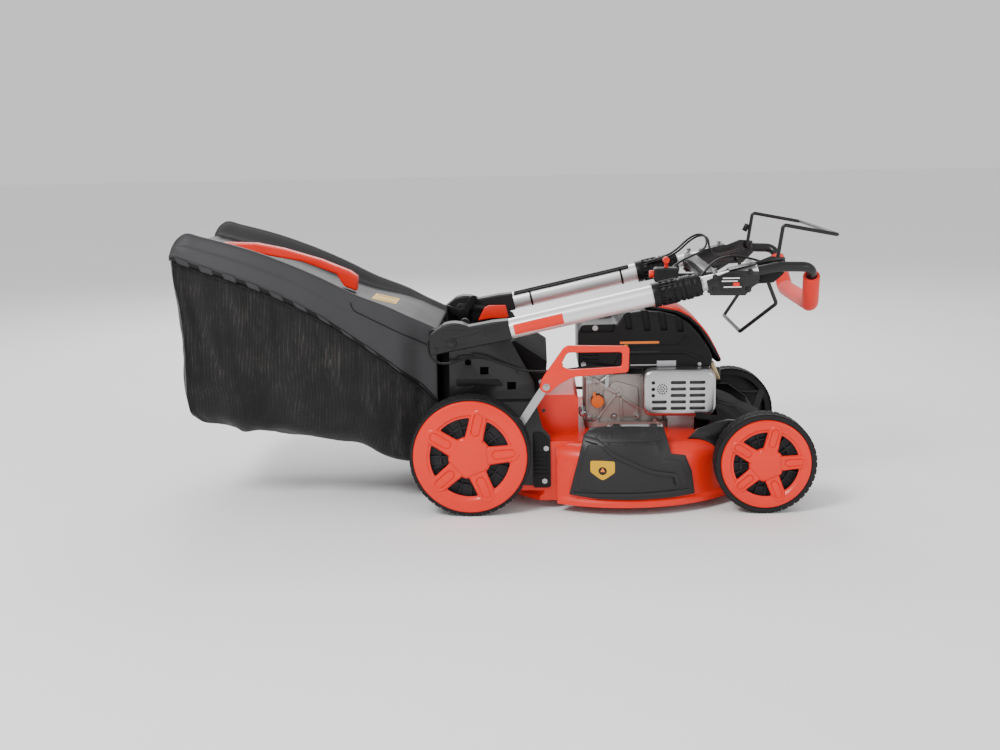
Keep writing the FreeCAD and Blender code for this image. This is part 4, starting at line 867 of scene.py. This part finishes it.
class MOWER_OT_engine_details(bpy.types.Operator):
    """Add the engine's bolts, bosses, governor linkage, brass bracket and knurled oil cap"""
    bl_idname = "mower.engine_details"
    bl_label = "Engine details"

    def case_ribs(self, x):
        """Bosses, webs, slanted beams and a raised plate on the crankcase's face."""
        seats = [(x - 74, 172), (x - 74, 250), (x + 30, 172), (x - 20, 172)]
        bosses = [round_edges(drum_y("boss", seat, CASE_FACE + 2, CASE_FACE - 5, 8, 28), 1.2, 2)
                  for seat in seats]
        webs = [plate("web", rectangle(u, 164, u + 4, 258), 1.5, CASE_FACE - 3, CASE_FACE + 2)
                for u in (x - 80, x - 65, x - 50, x - 35)]
        pad = [(x - 40, 170), (x + 34, 170), (x + 34, 236), (x - 18, 252), (x - 44, 226)]
        pad = round_edges(plate("plate", pad, 10, CASE_FACE - 4, CASE_FACE + 2), 1.5, 3)
        beams = []
        for (x0, z0), (x1, z1), half in (((-66, 258), (34, 190), 3.5), ((-6, 237), (-56, 168), 3),
                                         ((-6, 237), (-4, 170), 3)):
            slope = Vector((x1 - x0, z1 - z0)).normalized() * half
            beam = [(x + x0 - slope.y, z0 + slope.x), (x + x1 - slope.y, z1 + slope.x),
                    (x + x1 + slope.y, z1 - slope.x), (x + x0 + slope.y, z0 - slope.x)]
            beams.append(round_edges(prism("beam", beam, CASE_FACE - 9, CASE_FACE + 1), 1.5, 2))
        finish("crankcase_bosses", bosses + webs + beams + [pad], "chassis", "cast_alloy")
        finish("engine_bolts", [hex_bolt(u, CASE_FACE - 5, z, 4.5) for u, z in seats], "chassis",
               "zinc_steel")

    def guard(self, x):
        """Muffler guard: a pressed box with a rounded front, slots and a ring of small holes."""
        low, high = box_mm("muffler_guard")
        shells = []
        for inset, radius, depth, edge in ((0.0, 24, high[1], 9), (2.0, 22, high[1] + 4, 7.5)):
            front = low[1] + inset
            outline = rectangle(low[0] + inset, low[2] + inset, high[0] - inset, high[2] - inset)
            piece = plate("guard", outline, radius, front, depth, 9)
            rim = piece.data.attributes.new("bevel_weight_edge", "FLOAT", "EDGE")
            for index, line in enumerate(piece.data.edges):
                ends = [piece.data.vertices[v].co.y / MM for v in line.vertices]
                rim.data[index].value = 1.0 if max(ends) < front + 0.5 else 0.0
            shells.append(apply_modifier(piece, "BEVEL", width=edge * MM, segments=5, limit_method="WEIGHT"))
        guard = carve(*shells)
        y0, y1 = low[1] - 4, low[1] + 9
        cuts = []
        for row in range(5):
            z = 256 - 14.0 * row
            for column, (start, end) in enumerate(((x + 58, x + 90), (x + 98, x + 131), (x + 138, x + 172))):
                if column or row > 2:
                    cuts.append(plate("slot", rectangle(start, z - 3.6, end, z + 3.6), 3, y0, y1, 4))
            if row < 3:
                cuts.append(drum_y("hole", (x + 61, z), y0, y1, 4.0, 20))
        for ring, count in ((0, 1), (5, 6), (10, 12)):
            cuts += [drum_y("hole", hole, y0, y1, 1.8, 10)
                     for hole in circle_points(x + 80, 242, ring, count)]
        carve(guard, joined("cuts", cuts))
        emblem = turned_y("ring", [(13.2, low[1] + 1), (13.2, low[1] - 0.9), (15, low[1] - 0.9),
                                   (15, low[1] + 1)], x + 80, 242, 40)
        finish("muffler_guard_finished", [guard, emblem], "chassis", SLOT["muffler_guard"], "guard_steel",
               ("muffler_guard",), 32)

    def execute(self, context):
        x = SHAFT_X
        self.case_ribs(x)
        self.guard(x)
        drain = (x - 88, 181)
        finish("drain_plug", [round_edges(drum_y("drain", drain, -90, -122, 8, 6), 1, 2),
                              drum_y("neck", drain, -84, -100, 10, 28)], "chassis", "zinc_steel")
        low, high = box_mm("oil_cap")
        ribs = [drum_y("rib", rib, low[1] + 1, high[1] - 1, 1.2, 8)
                for rib in circle_points(*OIL_FILLER, 13, 16)]
        finish("oil_cap_ribs", ribs, "oil_cap", "orange_plastic")
        collar = drum_y("collar", OIL_FILLER, CASE_FACE, CASE_FACE - 7.5, 15, 40)
        finish("collar", [round_edges(collar, 1, 2)], "chassis", "black_plastic")
        strip = [(195, 283), (202, 283), (214, 252), (216, 244), (208, 244), (196, 268)]
        bracket = plate("brass_bracket", moved(strip, x, 0), 2, -72, -48)
        finish("brass_bracket", [round_edges(bracket, 0.8, 2)], "chassis", "cast_alloy", "brass")
        rod = [(x - 34, -116, 262), (x - 10, -117, 268), (x + 20, -116, 266), (x + 38, -114, 262)]
        spring = [(x - 60, -114, 244), (x - 48, -118, 254), (x - 34, -116, 262)]
        lever = [(x - 40, 238), (x - 33, 238), (x - 30, 266), (x - 38, 266)]
        finish("governor_linkage", [smooth_line("rod", rod, 0.0013), smooth_line("spring", spring, 0.0012),
                                    plate("lever", lever, 3, -117, -114)], "chassis", "zinc_steel")
        return {"FINISHED"}


# ---- height lever ----
class MOWER_OT_height_lever(bpy.types.Operator):
    """Make the red hand loop of the height lever"""
    bl_idname = "mower.height_lever"
    bl_label = "Height lever"

    def execute(self, context):
        low, high = box_mm("height_lever_handle")
        face = low[1]

        def part(name, points, corner, y0, y1):
            return plate(name, moved(points, *LEVER_PIVOT), corner, y0, y1, 6)

        loop = part("loop", [(-9, 17), (40, 86), (172, 83), (170, 28), (55, 20), (24, 3), (4, -16),
                             (-14, -7)], 9, face, face + 11)
        carve(loop, part("hole", [(44, 71), (157, 71), (156, 40), (46, 35), (30, 44)], 7, face - 4,
                         face + 16))
        stem = part("stem", [(-14, -7), (-9, 17), (24, 3), (4, -16)], 6, face + 6, high[1])
        body = round_edges(joined("lever", [loop, stem]), 2.2, 4, 40)
        groove = part("groove", [(26, 30), (36, 47), (33, 50), (22, 34)], 2, face - 1.2, face + 2)
        finish("height_lever_finished", [body, round_edges(groove, 0.6, 2)], "rear_carriage", "red_plastic",
               nodes=("height_lever_handle",))
        finish("lever_bolt", [hex_bolt(LEVER_PIVOT[0], face, LEVER_PIVOT[1], 5.5)], "rear_carriage",
               "zinc_steel")
        return {"FINISHED"}


# ---- handle ----
def tube_strip(name, start, end, radius, spread_deg, facing):
    """Curved strip on the near handle tube, between two places along it."""
    steps = 14
    width = steps + 1
    points, faces = [], []
    for along in (start, end):
        for r in (radius, radius - 0.8):
            for i in range(width):
                a = math.radians(facing - spread_deg / 2 + spread_deg * i / steps)
                x, z = on_tube(along, r * math.sin(a))
                points.append(at(x, -TUBE_Y - r * math.cos(a), z))
    for i in range(steps):
        faces += [(i, i + 1, 2 * width + i + 1, 2 * width + i),
                  (width + i, 3 * width + i, 3 * width + i + 1, width + i + 1),
                  (i, width + i, width + i + 1, i + 1),
                  (2 * width + i, 2 * width + i + 1, 3 * width + i + 1, 3 * width + i)]
    faces += [(0, 2 * width, 3 * width, width), (steps, width + steps, 3 * width + steps, 2 * width + steps)]
    return from_faces(name, points, faces)


def tube_ring(name, start, end, side, radius, sides):
    """Round band about a handle tube, between two places along it."""
    (x0, z0), (x1, z1) = on_tube(start), on_tube(end)
    return drum(name, (x0, side * TUBE_Y, z0), (x1, side * TUBE_Y, z1), radius, sides)


class MOWER_OT_lower_handle(bpy.types.Operator):
    """Make the moulded fold knuckles, the red strips, the knobs and the twist collars"""
    bl_idname = "mower.lower_handle"
    bl_label = "Lower handle"

    def execute(self, context):
        softened("fold_knuckles", 2.2, segments=3, angle=35)
        low = box_mm("fold_knuckles")[0][1]
        x, z = FOLD
        cap = moved([(-20, 2), (60, 22), (62, 30), (36, 26), (-18, 24)], x, z)
        pads = [plate("pad", cap, 5, low - 1.6, low + 2)]
        for index in range(5):
            u, v = x + 66 + 7 * index, z + 14 + 1.6 * index
            pads.append(plate("rib", rectangle(u, v, u + 3.4, v + 18), 1.2, low - 1.4, low + 2))
        pads.append(drum_y("boss", FOLD, low - 3, low + 2, 10))
        finish("knuckle_pads", both_sides([round_edges(piece, 0.9, 2) for piece in pads]), "lower_handle",
               "grey_plastic")
        bolts = [hex_bolt(x, low - 3, z, 5.5), hex_bolt(x - 34, low - 0.2, z - 14, 3.2)]
        finish("knuckle_bolts", both_sides(bolts), "lower_handle", "black_steel")
        strip = tube_strip("strip", 8, 112, 21.7, 62, -4)
        finish("tube_strips", both_sides([strip]), "lower_handle", "red_plastic")
        for side in ("left", "right"):
            softened("fold_knob_" + side, 1.6, segments=3, angle=40)
            softened("collar_" + side, 0.6)
        softened("fold_lock_lever", 1.8, segments=3)
        return {"FINISHED"}


class MOWER_OT_collar_grips(bpy.types.Operator):
    """Add the fine finger ribs of the twist collars"""
    bl_idname = "mower.collar_grips"
    bl_label = "Collar ribs"

    def execute(self, context):
        count, radius = 18, 24.4
        for side, sign in (("right", -1), ("left", 1)):
            ribs = []
            for index in range(count):
                a = 2 * math.pi * index / count
                ends = []
                for along in (318, 352):
                    x, z = on_tube(along, radius * math.sin(a))
                    ends.append((x, sign * (TUBE_Y + radius * math.cos(a)), z))
                ribs.append(drum("rib", *ends, 1.7, 8))
            for along in (360, 369, 378):
                ribs.append(round_edges(tube_ring("ring", along, along + 4.5, sign, 25.4, 48), 1.3, 2))
            ribs.append(round_edges(tube_ring("ring", 388, 396, sign, 23.8, 48), 1.2, 2))
            finish("collar_ribs_" + side, ribs, "collar_" + side, "black_plastic")
            ring = round_edges(tube_ring("ring", 399, 405, sign, 17.5, 40), 1.5)
            finish("tube_ring_" + side, [ring], "upper_handle", "zinc_steel")
        x, z = on_tube(403)
        y = -TUBE_Y - 6
        route = [(x, y, z + 13), (x - 1, y - 14, z + 12), (x + 1, y - 19, z), (x + 3, y - 17, z - 14),
                 (x + 3, y - 4, z - 15)]
        finish("spring_clip", [smooth_line("wire", route, 0.0013, 8)], "upper_handle", "zinc_steel")
        return {"FINISHED"}


class MOWER_OT_upper_handle(bpy.types.Operator):
    """Soften the bracket plates and the speed box, and add bolts, knobs and the plain plate label"""
    bl_idname = "mower.upper_handle"
    bl_label = "Upper handle"

    def execute(self, context):
        softened("upper_bracket", 1.2)
        low = box_mm("upper_bracket")[0][1]
        bolts = [hex_bolt(x, low, z, 4.2) for x, z in shift_outline((578, 500), (507, 490), (575, 463),
                                                                    (505, 464))]
        finish("bracket_bolts", both_sides(bolts), "upper_handle", "black_steel")
        studs = []
        for x, z in shift_outline((578, 516), (507, 500)):
            for name, foot, radius, sides in (("stud", -14, 3, 16), ("nut", 1, 5.5, 6)):
                studs.append(drum(name, (x, -TUBE_Y, z + foot), (x, -TUBE_Y, z + 6), radius, sides))
        finish("bracket_studs", both_sides(studs), "upper_handle", "zinc_steel")
        inner = low + 24
        cover = shift_outline((600, 474), (604, 500), (628, 517), (655, 515), (652, 492), (630, 474))
        housings = [round_edges(plate("guard", cover, 8, inner, inner + 14), 3),
                    round_edges(drum_y("cap", shift_tip(646, 509), inner - 4, inner + 16, 8, 28), 2)]
        finish("bail_housings", both_sides(housings), "upper_handle", "black_plastic")
        base = shift_outline((512, 493), (517, 460), (560, 459), (567, 488), (545, 496))
        base = round_edges(plate("plate", base, 3, low - 1.6, low + 1), 0.5, 2)
        finish("bracket_label", [base], "upper_handle", "black_steel", "label_black")
        lines = [prism("line", shift_outline(*rectangle(x0, z, x1, z + 2.4)), low - 2.0, low - 1)
                 for z, x0, x1 in ((486, 522, 556), (480, 520, 552), (468, 524, 560))]
        finish("bracket_label_lines", lines, "upper_handle", "black_steel", "label_white")
        mark = plate("mark", shift_outline(*rectangle(543, 470, 556, 478)), 2, low - 2.1, low - 1)
        finish("bracket_label_mark", [mark], "upper_handle", "black_steel", "red_plastic")
        softened("speed_control", 1.0)
        x, z = shift_tip(397, 478)
        button = drum("button", (x - 9, -60, z), (x + 6, -60, z), 8)
        finish("speed_button", [round_edges(button, 2.2)], "upper_handle", "red_plastic")
        return {"FINISHED"}


class MOWER_OT_grip(bpy.types.Operator):
    """Finish the foam grip with rounded ends"""
    bl_idname = "mower.grip"
    bl_label = "Foam grip"

    def execute(self, context):
        softened("handlebar_grip", 2.6, segments=3, angle=50)
        return {"FINISHED"}


# ---- cables ----
class MOWER_OT_cables(bpy.types.Operator):
    """Lay the control cables along the engine, the folded tubes and the upper brackets"""
    bl_idname = "mower.cables"
    bl_label = "Control cables"

    def execute(self, context):
        x = SHAFT_X
        radius = sizes().cable_radius
        near = [(x - 4, -123, 283), (x - 40, -124, 286), (x - 76, -140, 289), (x - 108, -166, 290),
                (x - 144, -190, 290), (x - 182, -205, 291), (x - 219, -214, 297), (x - 260, -215, 312),
                (x - 300, -216, 326), (x - 336, -216, 325), (x - 366, -216, 313), (x - 398, -216, 314),
                (x - 416, -216, 338), (x - 413, -216, 362)]
        far = [(x - 180, 188, 233), (x - 183, 203, 258), (x - 218, 213, 280), (x - 262, 215, 303),
               (x - 300, 216, 320), (x - 336, 216, 322), (x - 368, 216, 312), (x - 398, 216, 316),
               (x - 416, 216, 338), (x - 413, 216, 362)]
        lift = 24.2
        tube = []
        for along, wave in zip((4, 56, 110, 168, 228, 285), (0, 1, -1, 1, -1, 1)):
            px, pz = on_tube(along, lift * 0.72)
            tube.append((px, TUBE_Y - lift * 0.70 + wave, pz))
        second = [(px, y + 5.6, pz + 3.4) for px, y, pz in tube]
        upper = shift_route((402, 196, 478), (440, 188, 488), (472, 180, 506), (496, 170, 532),
                            (520, 152, 548), (536, 128, 542), (534, 102, 522), (512, 80, 508),
                            (482, 56, 500), (452, 30, 486), (436, -2, 474), (430, -40.5, 468))
        brake = [(px + 6, py + 8, pz - 4) for px, py, pz in upper[:7]]
        brake += shift_route((552, 120, 500), (590, 150, 500), (622, 178, 507))
        drive = shift_route((470, -196, 466), (500, -190, 512), (540, -184, 528), (580, -180, 524),
                            (622, -180, 510))
        for node, body, routes in (("lower_cables", None, (near, far)),
                                   ("tube_cables", "lower_handle", (tube, second)),
                                   ("upper_cables", "upper_handle", (upper, brake, drive))):
            lines = finish(node + "_finished", [smooth_line("line", route, radius) for route in routes],
                           body, "cable_black", None, (node,), 60)
            if not body:
                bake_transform(lines)
        ties = [round_edges(tube_ring("tie", along, along + 5, 1, 21.9, 40), 0.8, 2) for along in (40, 262)]
        finish("cable_ties", ties, "lower_handle", "black_plastic")
        px, pz = shift_tip(636, 556)
        barrel = drum("barrel", (px - 3, 192, pz - 8), (px + 5, 192, pz + 8), 6, 28)
        finish("cable_barrel", [round_edges(barrel, 1.4, 2)], "drive_bail", "black_steel", "black_plastic")
        return {"FINISHED"}


# ---- grass bag ----
# Share of the bag's length, then the heights of its rail, its ridge and its floor.
BAG_FRONT, BAG_LEN = -71.0, 548.5
BAG_ROWS = ((0.0, 230, 383, 118), (0.053, 262, 397, 109), (0.1, 285, 409, 105), (0.179, 321, 431, 108),
            (0.306, 371, 459, 132), (0.442, 421, 497, 141), (0.585, 462, 532, 153), (0.735, 497, 562, 173),
            (0.893, 527, 586, 187), (0.948, 538, 593, 192), (1.0, 549, 574, 201))
RAIL, RIDGE, FLOOR = 1, 2, 3
RAIL_HALF, RIDGE_HALF = (215, 184), (191, 183)          # half widths of the cover, full and at the mouth
CLOTH_HALF, BEAD_HALF = (207, 178), (214, 183)
STITCH_HALF = (208.6, 179.6)


def clamped(value):
    return min(1.0, max(0.0, value))


def bag_x(share):
    return BAG_FRONT - BAG_LEN * share


def bag_share(x):
    return (BAG_FRONT - x) / BAG_LEN


def bag_value(share, column):
    """Height from the bag's rows, smoothly between them."""
    share = clamped(share)
    rows = BAG_ROWS
    index = max(i for i in range(len(rows) - 1) if rows[i][0] <= share)

    def slope(i):
        a, b = max(0, i - 1), min(len(rows) - 1, i + 1)
        return (rows[b][column] - rows[a][column]) / (rows[b][0] - rows[a][0])

    a, b = rows[index], rows[index + 1]
    span = b[0] - a[0]
    t = (share - a[0]) / span
    return ((2 * t ** 3 - 3 * t ** 2 + 1) * a[column] + (t ** 3 - 2 * t ** 2 + t) * span * slope(index)
            + (3 * t ** 2 - 2 * t ** 3) * b[column] + (t ** 3 - t ** 2) * span * slope(index + 1))


def bag_width(share, halves):
    """Half width, which narrows towards the bag's mouth."""
    wide, narrow = halves
    ease = clamped((share - 0.053) / 0.1)
    return narrow + (wide - narrow) * ease * ease * (3 - 2 * ease)


def trough_depth(share):
    """Depth of the cover's sunk middle, which runs out at both ends."""
    return 12 + 28 * min(clamped((share - 0.1) / 0.35), (1 - share) / 0.052)


def cover_half(share):
    """Half of the cover's section, from its lower edge up over the ridge to the middle."""
    rail, ridge = bag_value(share, RAIL), bag_value(share, RIDGE)
    y0, y1 = bag_width(share, RAIL_HALF), bag_width(share, RIDGE_HALF)
    depth = trough_depth(share)
    trough = ridge - depth
    points = [(y0 - 1, rail - 3), (y0, rail - 1), (y0, rail + 5), (y0 - 1, rail + 8)]
    for t, inset in ((0.06, 2.2), (0.3, 2.2), (0.44, 2.0), (0.47, 0.2), (0.7, 0.2), (0.86, 0.6), (0.95, 1.6)):
        points.append((y0 + (y1 - y0) * t - inset, rail + 9 + (ridge - rail - 9) * t))
    points += [(y1 - 3.5, ridge - 0.6), (y1 - 7, ridge), (y1 - 11, ridge - 0.8), (y1 - 14, ridge - 3)]
    points += [(y1 - 15 - 4 * t, ridge - 3 - (depth - 3) * t) for t in (0.25, 0.6, 0.9)]
    points += [(y1 - 23, trough + 0.2), (y1 - 30, trough), (y1 - 60, trough + 0.8)]
    return points + [((y1 - 60) * t, trough + 1.6) for t in (0.7, 0.35)]


def rail_line(name, sign, halves, lift, first, run, count, radius, sides):
    """Line along one rail of the bag, over a run of its length."""
    route = []
    for i in range(count):
        share = first + run * i / (count - 1)
        route.append((bag_x(share), sign * bag_width(share, halves), bag_value(share, RAIL) + lift))
    return smooth_line(name, route, radius, sides)


class MOWER_OT_bag_cover(bpy.types.Operator):
    """Make the bag's moulded cover with its ridges and sunk middle, and a black line of painted shade along
    its side step
    """
    bl_idname = "mower.bag_cover"
    bl_label = "Bag cover"

    def execute(self, context):
        stations = 72
        rows = []
        for share in [i / stations for i in range(stations + 1)]:
            half = cover_half(share)
            round_in = 7 * max(0.0, (share - 0.985) / 0.015) ** 2
            rows.append([(bag_x(share), y, z - round_in) for y, z in half + [(-y, z) for y, z in half[::-1]]])
        last = rows[-1]
        low = min(z for _, _, z in last)
        rows += [[(x - 2 + 2 * step, y * (1 - 0.01 * step), z + (low - z) * step) for x, y, z in last]
                 for step in (0.15, 0.5, 1.0)]
        cover = lofted("cover", rows)
        face_outside(cover, lambda face: face.normal.z)
        apply_modifier(cover, "SOLIDIFY", thickness=sizes().shell_wall, offset=-1.0)
        apply_modifier(cover, "SUBSURF", levels=1, render_levels=1)
        finish("bag_cover_finished", [cover], "grass_bag", "dark_cover", None, ("bag_cover",), 50)
        # The side step is not modelled: a thin black line, darker than the cover, is laid along it as painted
        # shade.
        steps = []
        line = [(-248, 443), (-244, 430)] + [(-239 + 13.6 * i, 425 - 7.0 * i) for i in range(12)]
        for sign in (-1, 1):
            route = []
            for x, z in line:
                share = bag_share(x)
                rail, ridge = bag_value(share, RAIL) + 9, bag_value(share, RIDGE)
                y0, y1 = bag_width(share, RAIL_HALF), bag_width(share, RIDGE_HALF)
                route.append((x, sign * (y0 + (y1 - y0) * (z - rail) / (ridge - rail) + 0.2), z))
            steps.append(smooth_line("step", route, 0.0012))
        finish("bag_cover_step_shade", steps, "grass_bag", "black_plastic")
        return {"FINISHED"}


def fold_depth(x, z, y):
    """How far the fabric stands in or out, in millimetres: slanted soft folds."""
    drift = noise.noise(Vector((x / 140, y / 160, z / 120))) * 1.8
    folds = math.sin((x * 0.58 + z * 0.82) / 29.0 + drift * 1.6) * 6.5
    fine = math.sin((x * 0.9 - z * 0.55) / 13.0 + drift * 4) * 1.1
    lumps = noise.noise(Vector((x / 60, y / 70 + 9, z / 60))) * 6.0
    return folds + fine + lumps - 4.0


def bag_section(share, steps):
    """Fabric section from one rail down, across the floor and up to the other rail."""
    rail, floor = bag_value(share, RAIL) + 2, bag_value(share, FLOOR)
    y = bag_width(share, CLOTH_HALF)
    radius = 30.0
    path = [(y, rail + (floor + radius - rail) * i / steps) for i in range(steps)]
    for i in range(7):
        a = math.radians(15 * i)
        path.append((y - radius + radius * math.cos(a), floor + radius - radius * math.sin(a)))
    for i in range(1, 8):
        path.append(((y - radius) * (1 - i / 8), floor - 3.0 * math.sin(math.pi * i / 16)))
    return path + [(-py, pz) for py, pz in reversed(path)]


class MOWER_OT_bag_fabric(bpy.types.Operator):
    """Make the bag's mesh fabric: a lofted sheet that sags and folds between its seams"""
    bl_idname = "mower.bag_fabric"
    bl_label = "Bag fabric"

    def settle(self, sheet):
        """Short cloth run, held at the seams, with its movement capped."""
        rest = [vertex.co.copy() for vertex in sheet.data.vertices]
        held = sheet.vertex_groups.new(name="held")
        for vertex in sheet.data.vertices:
            share = min(1.0, bag_share((vertex.co.x - AXLE_X) / MM))
            if vertex.co.z / MM > bag_value(share, RAIL) - 5 or share < 0.02:
                held.add([vertex.index], 1.0, "REPLACE")
        pick(sheet)
        modifier = sheet.modifiers.new("cloth", "CLOTH")
        cloth = modifier.settings
        cloth.quality = 5
        cloth.mass = 0.25
        cloth.tension_stiffness = 12
        cloth.compression_stiffness = 4
        cloth.bending_stiffness = 0.6
        cloth.air_damping = 3
        cloth.shrink_min = -0.025
        cloth.vertex_group_mass = "held"
        modifier.collision_settings.use_collision = False
        modifier.collision_settings.use_self_collision = False
        scene = bpy.context.scene
        for moment in range(1, 19):
            scene.frame_set(moment)
        bpy.ops.object.modifier_apply(modifier="cloth")
        scene.frame_set(1)
        slack = sizes().fabric_slack
        for vertex, start in zip(sheet.data.vertices, rest):
            move = vertex.co - start
            if move.length > slack:
                vertex.co = start + move.normalized() * slack

    def execute(self, context):
        stations, closing = 84, 26
        rows = []
        for i in range(stations + 1):
            share = i / stations
            rows.append([(bag_x(share * 0.997), y, z) for y, z in bag_section(share, 26)])
        last = rows[-1]
        top = last[0][2]
        for step in range(1, closing):
            t = step / closing
            bulge = 10 * math.sin(min(1.0, t * 4) * math.pi / 2) + 9 * math.sin(math.pi * t) ** 1.2
            rows.append([(x - bulge, y * (1 - t), top + (z - top) * (1 - t)) for x, y, z in last])
        sheet = lofted("bag_fabric", rows)
        face_outside(sheet, lambda face: face.normal.y * (1 if face.center.y > 0 else -1))
        normals = [vertex.normal.copy() for vertex in sheet.data.vertices]
        for vertex, normal in zip(sheet.data.vertices, normals):
            x, y, z = (vertex.co.x - AXLE_X) / MM, vertex.co.y / MM, vertex.co.z / MM
            share = min(1.0, bag_share(x))
            away = clamped((bag_value(share, RAIL) - 4 - z) / 50) * min(1.0, share / 0.08)
            vertex.co += normal * fold_depth(x, z, y) * away * MM
        self.settle(sheet)
        apply_modifier(sheet, "SOLIDIFY", thickness=0.0012, offset=-1.0)
        finish("bag_fabric", [sheet], "grass_bag", "bag_fabric", None, ("bag_body",), 70)
        hem = [rail_line("stitch", sign, STITCH_HALF, lift, 0.02, 0.97, 30, 0.0006, 4)
               for sign in (-1, 1) for lift in (-12, -15.5)]
        finish("bag_stitching", hem, "grass_bag", "bag_fabric", "wheel_grey", (), 60)
        return {"FINISHED"}


class MOWER_OT_bag_trim(bpy.types.Operator):
    """Add the bag's seam bead, clips, carry handle and plain label"""
    bl_idname = "mower.bag_trim"
    bl_label = "Bag trim"

    def execute(self, context):
        beads, clips = [], []
        count = sizes().clip_count
        for sign in (-1, 1):
            beads.append(rail_line("bead", sign, BEAD_HALF, -4, 0.01, 0.985, 40, 0.0034, 8))
            for i in range(count):
                share = 0.07 + 0.88 * i / (count - 1)
                rise = bag_value(share + 0.02, RAIL) - bag_value(share - 0.02, RAIL)
                along = math.atan(rise / (BAG_LEN * 0.04))
                c, s = math.cos(along), math.sin(along)
                x, z = bag_x(share), bag_value(share, RAIL) - 4
                outline = [(x - u * c - v * s, z + u * s + v * c) for u, v in rectangle(-14, -6.5, 14, 6.5)]
                y = bag_width(share, BEAD_HALF)
                clip = plate("clip", outline, 3.5, sign * (y - 1), sign * (y + 4.6), 4)
                clips.append(round_edges(clip, 1.1, 2, 40))
        finish("bag_seam", beads, "grass_bag", "black_plastic", angle=60)
        finish("bag_clips", clips, "grass_bag", "dark_cover")
        softened("bag_handle", 4.2, segments=4, angle=35)
        for name, colour, y0, y1, inset, lift in (("bag_label", "label_yellow", -24, 66, 0, 0.8),
                                                  ("bag_label_line", "label_black", 46, 49, 6, 1.2),
                                                  ("bag_label_edge", "label_black", -8, -6, 6, 1.2)):
            (xa, za), (xb, zb) = [(x, bag_value(bag_share(x), RIDGE) - trough_depth(bag_share(x)) + 1.6)
                                  for x in (-226.0 + inset, -172.0 - inset)]
            label = prism(name, [(xa, za - 2), (xb, zb - 2), (xb, zb + lift), (xa, za + lift)], y0, y1)
            finish(name, [label], "grass_bag", "dark_cover", colour)
        return {"FINISHED"}


# ---- stage ----
class MOWER_OT_stage(bpy.types.Operator):
    """Lay the pale floor and set the soft lights and the camera"""
    bl_idname = "mower.stage"
    bl_label = "Stage, lights and camera"

    def light(self, name, place, size, power):
        data = bpy.data.lights.new(name, "AREA")
        data.size = size
        data.energy = power
        lamp = bpy.data.objects.new(name, data)
        lamp.location = place
        lamp.rotation_euler = (Vector((0, 0, 0.3)) - Vector(place)).to_track_quat("-Z", "Y").to_euler()
        bpy.context.scene.collection.objects.link(lamp)

    def execute(self, context):
        scene = context.scene
        deselect()
        bpy.ops.mesh.primitive_plane_add(size=40, location=(0, 0, -0.0012))
        floor = settled("floor")
        material, tree, shader = nodes_of("floor")
        tint = ramp(tree, noise_field(tree, object_place(tree), 1.5),
                    [(0.2, (0.90, 0.90, 0.90)), (0.8, (0.93, 0.93, 0.93))])
        tree.links.new(tint, shader.inputs["Base Color"])
        shader.inputs["Roughness"].default_value = 0.9
        floor.data.materials.append(material)
        world = bpy.data.worlds.new("studio")
        world.use_nodes = True
        world.node_tree.nodes["Background"].inputs["Color"].default_value = (1.0, 1.0, 1.0, 1)
        world.node_tree.nodes["Background"].inputs["Strength"].default_value = 0.85
        scene.world = world
        self.light("key", (-1.5, -2.4, 2.9), 1.1, 110)
        self.light("fill", (2.4, -2.4, 1.2), 1.8, 18)
        self.light("rim", (-0.4, 2.6, 2.4), 2.0, 70)
        data = bpy.data.cameras.new("camera")
        data.lens = 46.1
        data.sensor_width = 36.0
        camera = bpy.data.objects.new("camera", data)
        scene.collection.objects.link(camera)
        pitch, yaw, roll = math.radians(10.8), math.radians(-1.8), math.radians(-1.1)
        ahead = Vector((math.sin(yaw) * math.cos(pitch), math.cos(yaw) * math.cos(pitch), -math.sin(pitch)))
        right = ahead.cross(Vector((0, 0, 1))).normalized()
        up = right.cross(ahead)
        turn = Matrix((right * math.cos(roll) + up * math.sin(roll),
                       up * math.cos(roll) - right * math.sin(roll), -ahead)).transposed()
        camera.matrix_world = Matrix.Translation(at(146.4, -2853.4, 791.1)) @ turn.to_4x4()
        scene.camera = camera
        return {"FINISHED"}


OPERATORS = (MOWER_OT_packed_finishes, MOWER_OT_stage, MOWER_OT_wheels, MOWER_OT_frame_plates,
             MOWER_OT_side_door, MOWER_OT_engine_covers, MOWER_OT_engine_details, MOWER_OT_height_lever,
             MOWER_OT_lower_handle, MOWER_OT_collar_grips, MOWER_OT_upper_handle, MOWER_OT_grip,
             MOWER_OT_cables, MOWER_OT_bag_cover, MOWER_OT_bag_fabric, MOWER_OT_bag_trim)


class MOWER_PT_panel(bpy.types.Panel):
    """Sidebar panel that lists the mower's operators, sizes and colours"""
    bl_label = "Mower"
    bl_idname = "MOWER_PT_panel"
    bl_space_type = "VIEW_3D"
    bl_region_type = "UI"
    bl_category = "Mower"

    def draw(self, context):
        for operator in OPERATORS:
            self.layout.operator(operator.bl_idname)
        for group in (context.scene.mower_sizes, context.scene.mower_colours):
            for name in group.__annotations__:
                self.layout.prop(group, name)


CLASSES = (MowerSizes, MowerColours) + OPERATORS + (MOWER_PT_panel,)


def register():
    for item in CLASSES:
        bpy.utils.register_class(item)
    bpy.types.Scene.mower_sizes = PointerProperty(type=MowerSizes)
    bpy.types.Scene.mower_colours = PointerProperty(type=MowerColours)


def unregister():
    del bpy.types.Scene.mower_sizes
    del bpy.types.Scene.mower_colours
    for item in reversed(CLASSES):
        bpy.utils.unregister_class(item)


def main():
    register()
    for operator in OPERATORS:
        group, name = operator.bl_idname.split(".")
        getattr(getattr(bpy.ops, group), name)()


if __name__ == "__main__":
    main()
